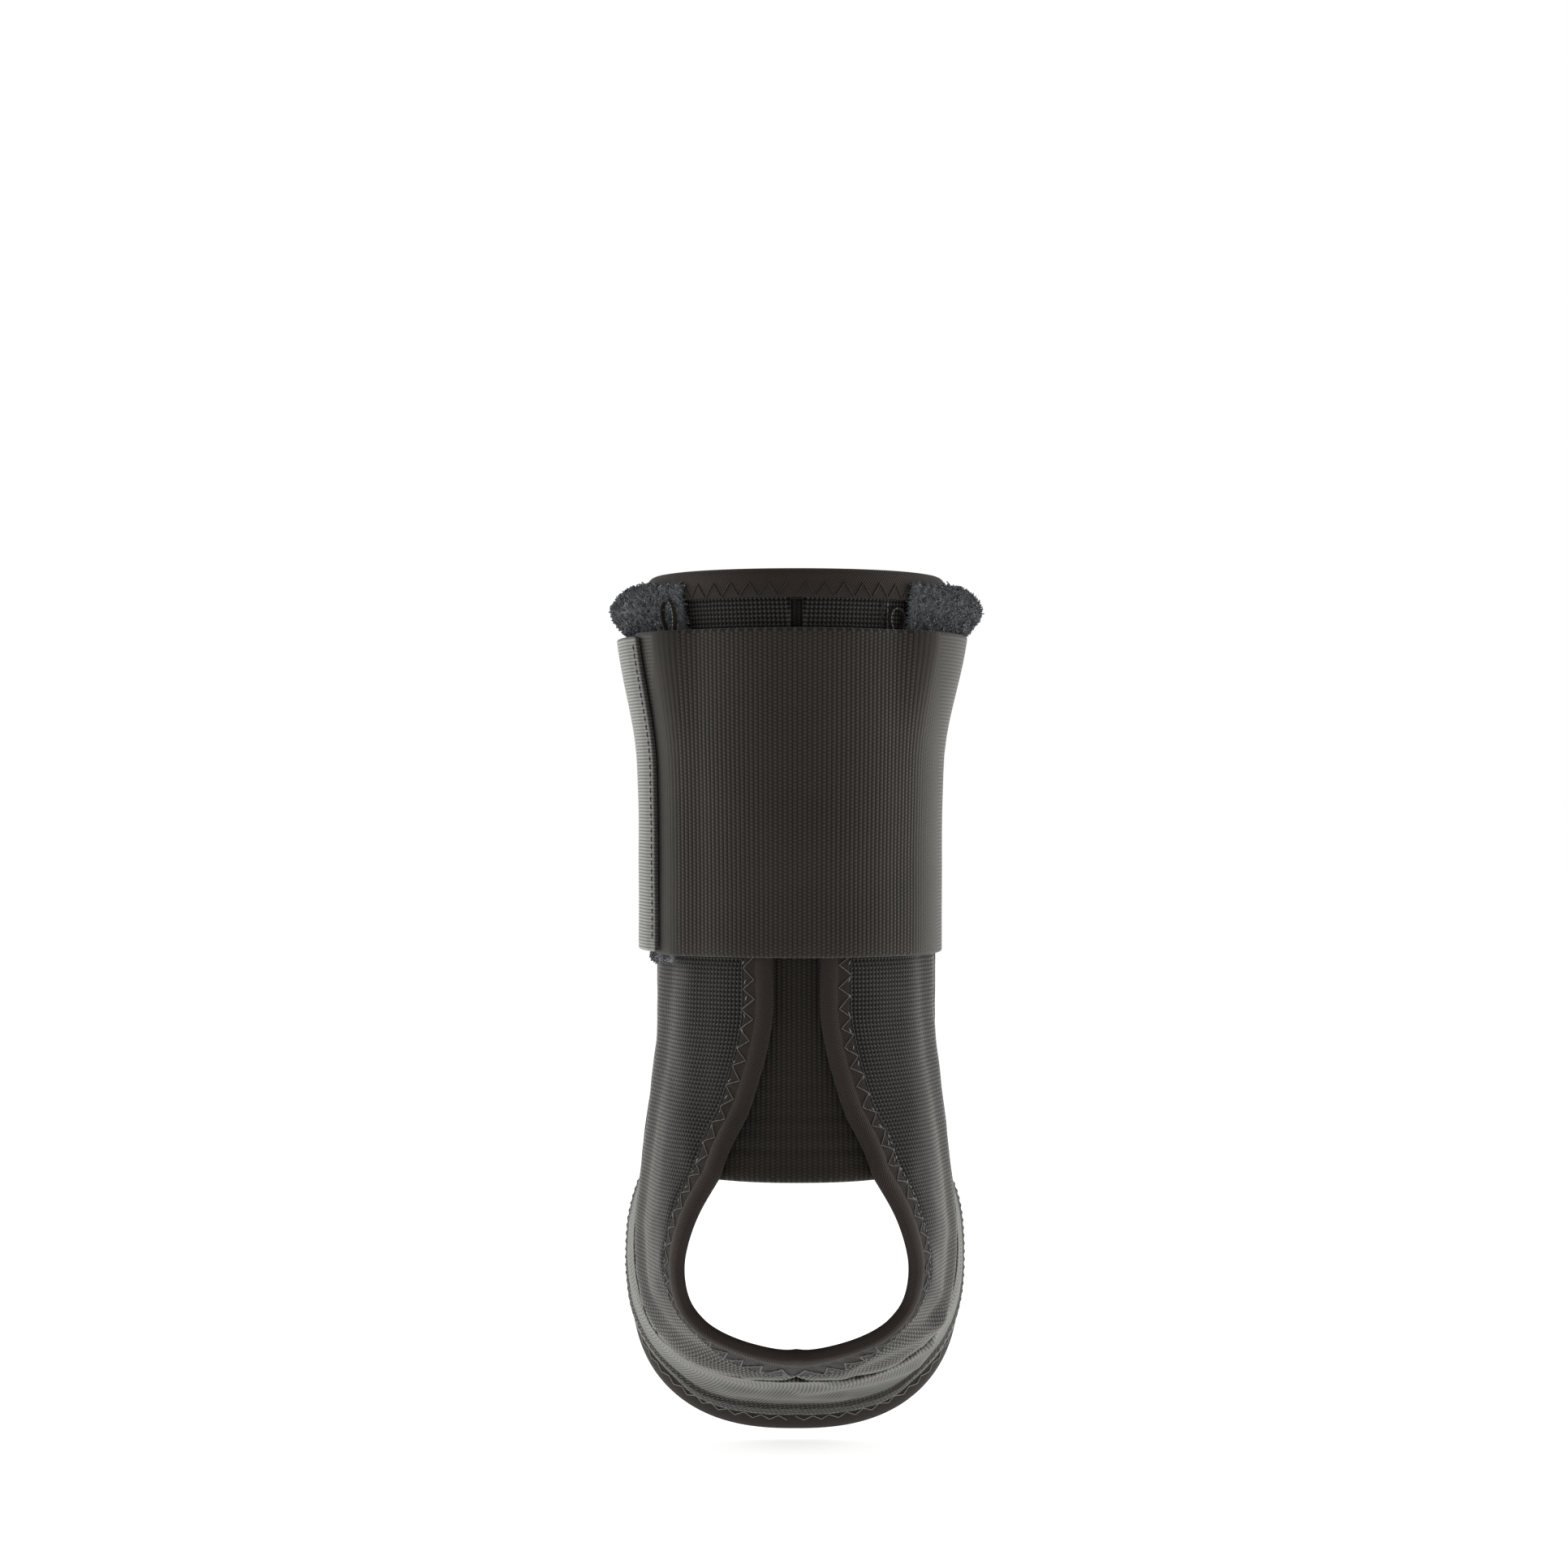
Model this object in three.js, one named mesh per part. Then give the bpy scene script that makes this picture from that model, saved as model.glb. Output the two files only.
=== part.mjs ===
// Boot-style soft ankle brace: two woven side panels joined at the front and under the sole,
// an elastic gore over the Achilles tendon, bound edges, a strap under the arch with pile ends,
// and a wide elastic cuff. Millimetres, +Z up along the leg, heel towards -Y, toes towards +Y.
// The origin lies on the leg's axis at the height of the ankle.

import * as THREE from 'three';

// Overall form of the hollow that the leg and foot fill
const topHeight = 155;
const topWidth = 77;
const ankleWidth = 70.4;
const footWidth = 94;
const topDepth = 83;
const heelReach = 47;
const heelDrop = 58.5;
const archReach = 62;
const archDrop = 92.5;
const instepReach = 83;
const instepHeight = 30;
const ankleHeight = 45;

// Cloth and tape
const panelThickness = 1.6;
const goreThickness = 1.2;
const tapeThickness = 1.0;
const strapThickness = 1.5;
const cuffThickness = 1.6;
const cuffTabThickness = 1.2;
const seamTapeThickness = 0.8;
const pileBackingThickness = 1.0;
const layerGap = 0.5;

// Heel opening and the slit above it that the gore fills
const goreHemHeight = -6;
const goreHemWidth = 43;
const openingWidth = 62;
const openingBottom = -60.5;
const goreOverlap = 4;
const goreHemFold = 5;
const goreTopClearance = 6.6;
const goreFoldEase = { start: 1.25, full: 0.8 };

// Edge binding
const bindingWidth = 6.2;
const topBindingWidth = 5.8;
const bindingLip = 1.0;
const lipGap = 0.65;
const channelGap = 0.7;
const innerLegShare = 0.8;

// Elastic cuff, which opens out to the top at the sides, and its end tab; angles in degrees
// round the leg from the heel's side, positive to the right
const cuffTopDrop = 14.7;
const cuffHeight = 86.8;
const cuffTop = topHeight - cuffTopDrop;
const cuffBottom = cuffTop - cuffHeight;
const cuffBaseStandoff = 3.6;
const cuffSideStandoff = 4.2;
const cuffFlare = 5.0;
const cuffFlareDrop = 36.3;
const cuffFlareRise = 6;
const cuffPileEase = 0.625;
const cuffSideAngles = { rear: 34, rearFull: 50, frontFull: 134, front: 150 };
const cuffAngles = { start: -61, end: 254 };
const cuffTabAngles = { front: -132, rear: -57 };
const cuffTabInset = 0.6;

// Strap under the arch and its pile ends
const pileEndHeight = 42.4;
const pileEndTopDrop = 1.6;
const strapEndTop = topHeight - pileEndTopDrop;
const strapEndHeight = strapEndTop - pileEndHeight;
const strapEndAngles = { rear: 44, front: 126 };
const strapSetback = 1.1;
const strapSeat = 0.9;
const pileEndBulge = 9.2;
const pileEndEase = { rise: 0.42, fall: 0.66 };
const heelBindingUnderCuff = 24.5;
const heelBindingTop = cuffBottom + heelBindingUnderCuff;

// Pile strip under the cuff's left side and the small folded tape loops
const pileStripDrop = 2.4;
const pileStripHeight = 16;
const pileStripAngles = { front: -100, rear: -52 };
const loopTapeThickness = 0.7;
const loopTapeWidth = 1.4;
const loopSpread = 5;
const loopSunkShare = 0.25;
const loopFullness = 1.3;
const frontSeamTapeWidth = 10;

const degree = Math.PI / 180;

// Sections of the hollow from the top of the leg to the distal edge of the foot. Columns are
// shares: height of topHeight, width of topWidth or of the way from ankleWidth to footWidth,
// rear and front of half topDepth, rearReach of heelReach, rearDrop of heelDrop (of ankleHeight
// above the origin), frontReach of instepReach, frontHeight of instepHeight, along of archReach,
// drop of archDrop and frontDrop of archFrontDrop. square is the roundness of the section.
const legSquareness = 2.1;
const legSections = [
  { height: 1.0, width: 1.0, rear: 0.988, front: 1.012 },
  { height: 0.903, width: 0.976, rear: 0.982, front: 1.0 },
  { height: 0.742, width: 0.938, rear: 0.964, front: 0.988 },
  { height: 0.58, width: 0.919, rear: 0.94, front: 0.976 },
  { height: 0.42, width: 0.916, rear: 0.918, front: 0.98 },
];

const ankleSection = { rearReach: -0.804, frontReach: 0.496 };

const footSections = [
  { rearReach: -0.808, rearDrop: -0.5, frontReach: 0.522, frontHeight: 1.2, width: 0.0, square: 2.15 },
  { rearReach: -0.82, rearDrop: -0.245, frontReach: 0.565, frontHeight: 0.97, width: 0.1, square: 2.15 },
  { rearReach: -0.872, rearDrop: -0.056, frontReach: 0.615, frontHeight: 0.75, width: 0.18, square: 2.2 },
  { rearReach: -0.957, rearDrop: 0.205, frontReach: 0.673, frontHeight: 0.54, width: 0.29, square: 2.25 },
  { rearReach: -1.0, rearDrop: 0.48, frontReach: 0.73, frontHeight: 0.36, width: 0.4, square: 2.3 },
  { rearReach: -0.936, rearDrop: 0.7, frontReach: 0.785, frontHeight: 0.22, width: 0.5, square: 2.3 },
  { rearReach: -0.745, rearDrop: 0.85, frontReach: 0.83, frontHeight: 0.12, width: 0.59, square: 2.35 },
  { rearReach: -0.51, rearDrop: 0.95, frontReach: 0.866, frontHeight: 0.04, width: 0.67, square: 2.4 },
  { rearReach: -0.3, rearDrop: 1.035, frontReach: 0.897, frontHeight: -0.03, width: 0.74, square: 2.4 },
];

const archSections = [
  { along: -0.08, drop: 0.695, frontReach: 0.915, frontDrop: 0.289, width: 0.8 },
  { along: 0.226, drop: 0.74, frontReach: 0.938, frontDrop: 0.498, width: 0.87 },
  { along: 0.56, drop: 0.8, frontReach: 0.962, frontDrop: 0.699, width: 0.94 },
  { along: 0.8, drop: 0.87, frontReach: 0.98, frontDrop: 0.849, width: 0.975 },
  { along: 0.925, drop: 0.932, frontReach: 0.991, frontDrop: 0.93, width: 0.99 },
  { along: 1.0, drop: 1.0, frontReach: 1.0, frontDrop: 1.0, width: 1.0 },
];
const archFrontDrop = 6.5;
const archSquareness = 2.5;

// Rear edge of a side panel seen from behind: slit rows rise from the gore's hem to the top edge,
// opening rows fall from the hem to the bottom of the heel opening.
const slitRows = [
  { up: 1.0, half: 0.107 },
  { up: 0.913, half: 0.115 },
  { up: 0.658, half: 0.2 },
  { up: 0.472, half: 0.31 },
  { up: 0.36, half: 0.365 },
  { up: 0.267, half: 0.37 },
  { up: 0.205, half: 0.445 },
  { up: 0.157, half: 0.54 },
  { up: 0.093, half: 0.7 },
  { up: 0.037, half: 0.905 },
  { up: 0.0, half: 1.0 },
];
const openingRows = [
  { down: 0.185, half: 0.87 },
  { down: 0.33, half: 0.96 },
  { down: 0.46, half: 1.0 },
  { down: 0.587, half: 0.985 },
  { down: 0.68, half: 0.93 },
  { down: 0.77, half: 0.8 },
  { down: 0.85, half: 0.62 },
  { down: 0.92, half: 0.42 },
  { down: 0.97, half: 0.22 },
  { down: 1.0, half: 0.0 },
];

// Course of the strap from the middle of the sole up one side. Sole rows give the angle round the
// section at its two edges. Side rows give the edges as seen from the side: y as shares of the
// arch's reach, z as shares of the arch's drop below the origin and of the strap's height above it.
const strapSoleRows = [
  { rearAngle: 0, frontAngle: 0 },
  { rearAngle: 17, frontAngle: 17 },
  { rearAngle: 34, frontAngle: 36 },
];
const strapSideRows = [
  { rearY: 0.13, rearZ: -0.59, frontY: 0.925, frontZ: -0.8 },
  { rearY: 0.16, rearZ: -0.38, frontY: 0.99, frontZ: -0.56 },
  { rearY: 0.13, rearZ: -0.16, frontY: 0.96, frontZ: -0.3 },
  { rearY: 0.07, rearZ: 0.05, frontY: 0.83, frontZ: -0.02 },
  { rearY: 0.0, rearZ: 0.25, frontY: 0.63, frontZ: 0.2 },
  { rearY: -0.07, rearZ: 0.48, frontY: 0.49, frontZ: 0.45 },
  { rearY: -0.2, rearZ: 0.76, frontY: 0.42, frontZ: 0.75 },
];

// Section of a pile end: share of its height, and how far it stands off as shares of the bulge,
// at the pile end's two sides (least) and at its middle (most)
const pileEndProfile = [
  { rise: 0.0, least: 0.16, most: 0.16 },
  { rise: 0.24, least: 0.17, most: 0.3 },
  { rise: 0.46, least: 0.18, most: 0.45 },
  { rise: 0.66, least: 0.19, most: 0.57 },
  { rise: 0.77, least: 0.22, most: 0.95 },
  { rise: 0.87, least: 0.28, most: 1.2 },
  { rise: 0.965, least: 0.3, most: 0.92 },
  { rise: 1.0, least: 0.26, most: 0.5 },
  { rise: 0.97, least: 0.18, most: 0.22 },
  { rise: 0.88, least: 0.18, most: 0.5 },
  { rise: 0.79, least: 0.12, most: 0.52 },
  { rise: 0.7, least: 0.0, most: 0.3 },
  { rise: 0.56, least: 0.0, most: 0.13 },
  { rise: 0.32, least: 0.0, most: 0.03 },
  { rise: 0.0, least: 0.0, most: 0.0 },
];

const materials = {
  nylon: new THREE.MeshStandardMaterial({ color: 0x454341, roughness: 0.72, metalness: 0 }),
  elastic: new THREE.MeshStandardMaterial({ color: 0x332e29, roughness: 0.85, metalness: 0 }),
  tape: new THREE.MeshStandardMaterial({ color: 0x393430, roughness: 0.7, metalness: 0 }),
  pile: new THREE.MeshStandardMaterial({ color: 0x3c4a50, roughness: 0.98, metalness: 0 }),
};

const lerp = (from, to, share) => from + (to - from) * share;

function smoothStep(low, high, value) {
  const share = Math.min(Math.max((value - low) / (high - low), 0), 1);
  return share * share * (3 - 2 * share);
}

function section(rearY, rearZ, frontY, frontZ, halfWidth, square) {
  return [rearY, rearZ, frontY, frontZ, halfWidth, square];
}

function buildSections() {
  const list = [];
  for (const row of legSections) {
    const height = topHeight * row.height;
    const half = topDepth / 2;
    list.push(section(-half * row.rear, height, half * row.front, height, topWidth / 2 * row.width,
      legSquareness));
  }
  list.push(section(
    heelReach * ankleSection.rearReach, ankleHeight, instepReach * ankleSection.frontReach, ankleHeight,
    ankleWidth / 2, legSquareness));
  for (const row of footSections) {
    const rearZ = -row.rearDrop * (row.rearDrop < 0 ? ankleHeight : heelDrop);
    list.push(section(
      heelReach * row.rearReach, rearZ, instepReach * row.frontReach, instepHeight * row.frontHeight,
      lerp(ankleWidth, footWidth, row.width) / 2, row.square));
  }
  for (const row of archSections) {
    list.push(section(
      archReach * row.along, -archDrop * row.drop, instepReach * row.frontReach,
      -archFrontDrop * row.frontDrop, lerp(ankleWidth, footWidth, row.width) / 2, archSquareness));
  }
  return list;
}

const sections = buildSections();

// Knots of the spline through the sections: mean of the steps along the rear and front lines
const knots = [0];
for (let k = 1; k < sections.length; k += 1) {
  const [rearY0, rearZ0, frontY0, frontZ0] = sections[k - 1];
  const [rearY1, rearZ1, frontY1, frontZ1] = sections[k];
  const rearStep = Math.hypot(rearY1 - rearY0, rearZ1 - rearZ0);
  const frontStep = Math.hypot(frontY1 - frontY0, frontZ1 - frontZ0);
  knots.push(knots[k - 1] + (rearStep + frontStep) / 2);
}
const lastKnot = knots[knots.length - 1];

// Cubic spline through rows of numbers at rising knots, with chord tangents
function splineAt(rows, at, position) {
  let k = 0;
  while (k < at.length - 2 && position > at[k + 1]) k += 1;
  const span = at[k + 1] - at[k];
  const share = (position - at[k]) / span;
  const square = share * share;
  const cube = square * share;
  return rows[k].map((value, column) => {
    const next = rows[k + 1][column];
    const before = k > 0 ? rows[k - 1][column] : value;
    const after = k < rows.length - 2 ? rows[k + 2][column] : next;
    const startSlope = (next - before) / (at[k + 1] - (k > 0 ? at[k - 1] : at[k]));
    const endSlope = (after - value) / ((k < rows.length - 2 ? at[k + 2] : at[k + 1]) - at[k]);
    return (2 * cube - 3 * square + 1) * value + (cube - 2 * square + share) * span * startSlope
      + (3 * square - 2 * cube) * next + (cube - square) * span * endSlope;
  });
}

// Point of the hollow: along is the place on the section spline, angle runs round from the rear
function surfacePoint(along, angle) {
  const [rearY, rearZ, frontY, frontZ, halfWidth, square] = splineAt(sections, knots, along);
  const halfDepth = Math.hypot(rearY - frontY, rearZ - frontZ) / 2;
  const towardRear = [(rearY - frontY) / (2 * halfDepth), (rearZ - frontZ) / (2 * halfDepth)];
  const cosine = Math.cos(angle);
  const sine = Math.sin(angle);
  const radius = Math.pow(
    Math.pow(Math.abs(cosine) / halfDepth, square) + Math.pow(Math.abs(sine) / halfWidth, square),
    -1 / square);
  return new THREE.Vector3(
    radius * sine,
    (rearY + frontY) / 2 + radius * cosine * towardRear[0],
    (rearZ + frontZ) / 2 + radius * cosine * towardRear[1]);
}

const probe = { along: 0.05, angle: 0.002 };
const surfaceSteps = 3;
const bisectSteps = 40;

function surfaceFrame(along, angle) {
  const point = surfacePoint(along, angle);
  const alongWay = surfacePoint(along + probe.along, angle)
    .sub(surfacePoint(along - probe.along, angle)).divideScalar(2 * probe.along);
  const angleWay = surfacePoint(along, angle + probe.angle)
    .sub(surfacePoint(along, angle - probe.angle)).divideScalar(2 * probe.angle);
  const normal = alongWay.clone().cross(angleWay).normalize();
  return { point, alongWay, angleWay, normal };
}

function offsetPoint(along, angle, offset) {
  const { point, normal } = surfaceFrame(along, angle);
  return point.addScaledVector(normal, offset);
}

// Moves across the surface by a vector that is close to tangent, in short steps
function stepOnSurface(along, angle, vector) {
  let place = [along, angle];
  for (let k = 0; k < surfaceSteps; k += 1) {
    const { alongWay, angleWay } = surfaceFrame(place[0], place[1]);
    const aa = alongWay.dot(alongWay);
    const ab = alongWay.dot(angleWay);
    const bb = angleWay.dot(angleWay);
    const va = alongWay.dot(vector) / surfaceSteps;
    const vb = angleWay.dot(vector) / surfaceSteps;
    const determinant = aa * bb - ab * ab;
    place = [
      place[0] + (va * bb - vb * ab) / determinant,
      place[1] + (vb * aa - va * ab) / determinant];
  }
  return place;
}

function bisect(low, high, isPast) {
  let from = low;
  let to = high;
  for (let k = 0; k < bisectSteps; k += 1) {
    const middle = (from + to) / 2;
    if (isPast(middle)) to = middle;
    else from = middle;
  }
  return (from + to) / 2;
}

// Place on the spline where the leg's rear line passes a height
const alongAtHeight = (height) => bisect(0, lastKnot, (along) => surfacePoint(along, 0).z < height);

// Angle where a section is a given distance from the middle plane, on its rear or front half
function angleAtHalf(along, half, onFront = false) {
  if (onFront) return Math.PI - bisect(0, Math.PI / 2, (a) => surfacePoint(along, Math.PI - a).x > half);
  return bisect(0, Math.PI / 2, (a) => surfacePoint(along, a).x > half);
}

// Place of a point seen from behind, at a height and a distance from the middle plane
function placeFromBehind(half, height) {
  const along = bisect(
    0, lastKnot, (s) => surfacePoint(s, angleAtHalf(s, half)).z < height);
  return [along, angleAtHalf(along, half)];
}

// Place of a point seen from the side, on the positive half
function placeFromSide(y, z) {
  const along = bisect(0, lastKnot, (at) => {
    const [rearY, rearZ, frontY, frontZ] = splineAt(sections, knots, at);
    return (frontY - rearY) * (z - rearZ) - (frontZ - rearZ) * (y - rearY) > 0;
  });
  const isBeyond = (angle) => {
    const point = surfacePoint(along, angle);
    const rear = surfacePoint(along, 0);
    const front = surfacePoint(along, Math.PI);
    const way = rear.sub(front);
    return way.y * (point.y - y) + way.z * (point.z - z) < 0;
  };
  return [along, bisect(0, Math.PI, isBeyond)];
}

function solidFrom(name, material, positions, triangles) {
  let volume = 0;
  const [a, b, c] = [new THREE.Vector3(), new THREE.Vector3(), new THREE.Vector3()];
  for (const [i, j, k] of triangles) {
    a.copy(positions[i]);
    b.copy(positions[j]);
    c.copy(positions[k]);
    volume += a.dot(b.cross(c));
  }
  const ordered = volume < 0 ? triangles.map(([i, j, k]) => [i, k, j]) : triangles;
  const geometry = new THREE.BufferGeometry();
  geometry.setAttribute('position', new THREE.Float32BufferAttribute(
    positions.flatMap((p) => [p.x, p.y, p.z]), 3));
  geometry.setIndex(ordered.flat());
  geometry.computeVertexNormals();
  const mesh = new THREE.Mesh(geometry, material);
  mesh.name = name;
  return mesh;
}

// Closed sheet over a grid: place(u, v) gives along and angle, span(u, v) the two offsets
function sheet(name, material, { rows, columns, place, span, mirror = false }) {
  const positions = [];
  const side = mirror ? -1 : 1;
  for (const layer of [0, 1]) {
    for (let i = 0; i <= rows; i += 1) {
      for (let j = 0; j <= columns; j += 1) {
        const [along, angle] = place(j / columns, i / rows);
        const offsets = span(j / columns, i / rows, along, angle);
        const point = offsetPoint(along, angle, offsets[layer]);
        positions.push(new THREE.Vector3(side * point.x, point.y, point.z));
      }
    }
  }
  const count = (rows + 1) * (columns + 1);
  const at = (layer, i, j) => layer * count + i * (columns + 1) + j;
  const triangles = [];
  const quad = (p, q, r, s) => triangles.push([p, q, r], [p, r, s]);
  for (let i = 0; i < rows; i += 1) {
    for (let j = 0; j < columns; j += 1) {
      quad(at(0, i, j), at(0, i, j + 1), at(0, i + 1, j + 1), at(0, i + 1, j));
      quad(at(1, i, j), at(1, i + 1, j), at(1, i + 1, j + 1), at(1, i, j + 1));
    }
  }
  for (let i = 0; i < rows; i += 1) {
    quad(at(0, i, 0), at(0, i + 1, 0), at(1, i + 1, 0), at(1, i, 0));
    quad(at(0, i + 1, columns), at(0, i, columns), at(1, i, columns), at(1, i + 1, columns));
  }
  for (let j = 0; j < columns; j += 1) {
    quad(at(0, 0, j + 1), at(0, 0, j), at(1, 0, j), at(1, 0, j + 1));
    quad(at(0, rows, j), at(0, rows, j + 1), at(1, rows, j + 1), at(1, rows, j));
  }
  return solidFrom(name, material, positions, triangles);
}

// Solid swept along a chain of rings, each a list of points of one closed section
function loft(name, material, rings, closed) {
  const size = rings[0].length;
  const triangles = [];
  const last = closed ? rings.length : rings.length - 1;
  for (let i = 0; i < last; i += 1) {
    const next = (i + 1) % rings.length;
    for (let j = 0; j < size; j += 1) {
      const other = (j + 1) % size;
      triangles.push([i * size + j, next * size + j, next * size + other]);
      triangles.push([i * size + j, next * size + other, i * size + other]);
    }
  }
  return { size, triangles, positions: rings.flat(), name, material, closed, count: rings.length };
}

function closeLoft(part, outline) {
  const { size, triangles, positions, count } = part;
  if (!part.closed) {
    const turn = Math.sign(THREE.ShapeUtils.area(outline));
    const lastRing = (count - 1) * size;
    for (const corners of THREE.ShapeUtils.triangulateShape(outline, [])) {
      const same = Math.sign(THREE.ShapeUtils.area(corners.map((k) => outline[k]))) === turn;
      const [i, j, k] = same ? corners : [...corners].reverse();
      triangles.push([i, j, k], [lastRing + i, lastRing + k, lastRing + j]);
    }
  }
  return solidFrom(part.name, part.material, positions, triangles);
}

// Binding or tape swept along an edge. Section points are [across, offset]: across runs from the
// edge into the cloth on the given side, offset stands off the hollow.
function edgeSweep(name, material, { places, outline, closed = false, side = 1 }) {
  const count = places.length;
  const points = places.map(([along, angle]) => surfacePoint(along, angle));
  const rings = places.map(([along, angle], k) => {
    const before = points[closed ? (k + count - 1) % count : Math.max(k - 1, 0)];
    const after = points[closed ? (k + 1) % count : Math.min(k + 1, count - 1)];
    const tangent = after.clone().sub(before).normalize();
    const { normal } = surfaceFrame(along, angle);
    const acrossWay = tangent.cross(normal).normalize().multiplyScalar(side);
    return outline.map(([across, offset]) => {
      const place = stepOnSurface(along, angle, acrossWay.clone().multiplyScalar(across));
      return offsetPoint(place[0], place[1], offset);
    });
  });
  const flat = outline.map(([across, offset]) => new THREE.Vector2(across, offset));
  return closeLoft(loft(name, material, rings, closed), flat);
}

// Steps along a smooth curve through rows of along and angle, closer near its end where bias > 1
function placesThrough(rows, steps, bias = 1) {
  const points = rows.map(([along, angle]) => surfacePoint(along, angle));
  const at = [0];
  for (let k = 1; k < points.length; k += 1) at.push(at[k - 1] + points[k].distanceTo(points[k - 1]));
  const length = at[at.length - 1];
  return Array.from({ length: steps + 1 }, (_, k) => (
    splineAt(rows, at, length * (1 - Math.pow(1 - k / steps, bias)))));
}

// Offsets of the layers
const panelOuter = panelThickness;
const overPanel = panelOuter + layerGap;
const tapeOuter = overPanel + tapeThickness;
const strapInner = panelOuter + strapSeat;
const strapOuter = strapInner + strapThickness;

// Rear edge of the right panel, from the top edge to the bottom of the heel opening. The first
// row lies a hair below the top edge, so that the search for its place has an end.
const hair = 0.001;
const rearEdgeRows = [
  ...slitRows.map((row) => placeFromBehind(
    goreHemWidth / 2 * row.half, lerp(goreHemHeight, topHeight, row.up) - (row.up === 1 ? hair : 0))),
  ...openingRows.map((row) => placeFromBehind(
    openingWidth / 2 * row.half, lerp(goreHemHeight, openingBottom, row.down))),
];
const hemAlong = rearEdgeRows[slitRows.length - 1][0];
const openingBottomAlong = rearEdgeRows[rearEdgeRows.length - 1][0];

const slitSteps = 12;
const openingSteps = 12;
const archSteps = 7;
const archBias = 1.7;
const slitBias = 1.5;
const slitPlaces = placesThrough(rearEdgeRows.slice(0, slitRows.length), slitSteps, slitBias);
const openingPlaces = placesThrough(rearEdgeRows.slice(slitRows.length - 1), openingSteps);

// One side panel: its rear edge follows the slit and the opening, then the seam under the sole
function sidePanel(name, mirror) {
  const edge = [...slitPlaces, ...openingPlaces.slice(1)];
  for (let k = 1; k <= archSteps; k += 1) {
    const share = 1 - Math.pow(1 - k / archSteps, archBias);
    edge.push([lerp(openingBottomAlong, lastKnot, share), 0]);
  }
  edge[0][0] = 0;
  const rows = edge.length - 1;
  const front = edge.map(([along], k) => {
    if (k <= slitSteps) return along;
    return lerp(hemAlong, lastKnot, (k - slitSteps) / (rows - slitSteps));
  });
  const place = (u, v) => {
    const k = Math.round(v * rows);
    const seamHalf = layerGap / 2;
    const start = Math.max(edge[k][1], angleAtHalf(edge[k][0], seamHalf));
    const end = angleAtHalf(front[k], seamHalf, true);
    return [lerp(edge[k][0], front[k], u), lerp(start, end, u)];
  };
  return sheet(name, materials.nylon, {
    rows, columns: 17, place, span: () => [0, panelOuter], mirror });
}

// Half width of the slit at a height, read off its edge
function slitHalfAt(height) {
  const rows = slitRows.map((row) => [goreHemWidth / 2 * row.half]).reverse();
  const at = slitRows.map((row) => lerp(goreHemHeight, topHeight, row.up)).reverse();
  return splineAt(rows, at, height)[0];
}

// Elastic gore under the slit's edges, with a folded hem above the heel
function achillesGore() {
  const top = topHeight - goreTopClearance;
  const place = (u, v) => {
    const height = lerp(top, goreHemHeight, v);
    const half = (slitHalfAt(height) + goreOverlap) * (2 * u - 1);
    const [along, angle] = placeFromBehind(Math.abs(half), height);
    return [along, Math.sign(half) * angle];
  };
  const span = (u, v) => {
    const foldShare = smoothStep(
      goreHemFold * goreFoldEase.start, goreHemFold * goreFoldEase.full, (1 - v) * (top - goreHemHeight));
    return [-layerGap - goreThickness * (1 + foldShare), -layerGap];
  };
  return sheet('achilles_gore', materials.elastic, { rows: 20, columns: 6, place, span });
}

// Channel section that wraps a free edge
function channelOutline(width) {
  const inner = -channelGap;
  const innerFace = inner - tapeThickness;
  const wrap = -channelGap - tapeThickness;
  const innerWidth = width * innerLegShare;
  return [
    [width, overPanel], [width, tapeOuter], [wrap, tapeOuter], [wrap, innerFace],
    [innerWidth, innerFace], [innerWidth, inner], [-channelGap, inner], [-channelGap, overPanel]];
}

function ringPlaces(along, steps) {
  return Array.from({ length: steps }, (_, k) => [along, 2 * Math.PI * k / steps]);
}

// Lip section that laps the panel's outer face and covers its cut edge
function lipOutline() {
  return [
    [bindingWidth, overPanel], [bindingWidth, tapeOuter], [-bindingLip - lipGap, tapeOuter],
    [-bindingLip - lipGap, 0], [-lipGap, 0], [-lipGap, overPanel]];
}

// Binding down both edges of the slit and round the heel opening, in one length
function heelOpeningBinding() {
  const slitBindingSteps = 34;
  const openingBindingSteps = 20;
  const isOnSlit = ([along]) => surfacePoint(along, 0).z < heelBindingTop && along < hemAlong - 1;
  const right = [
    ...placesThrough(rearEdgeRows.slice(0, slitRows.length), slitBindingSteps).filter(isOnSlit),
    ...placesThrough(rearEdgeRows.slice(slitRows.length - 1), openingBindingSteps)];
  const left = right.slice(0, -1).reverse().map(([along, angle]) => [along, -angle]);
  return edgeSweep('heel_opening_binding', materials.tape, {
    places: [...right, ...left], outline: lipOutline(), side: -1 });
}

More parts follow.
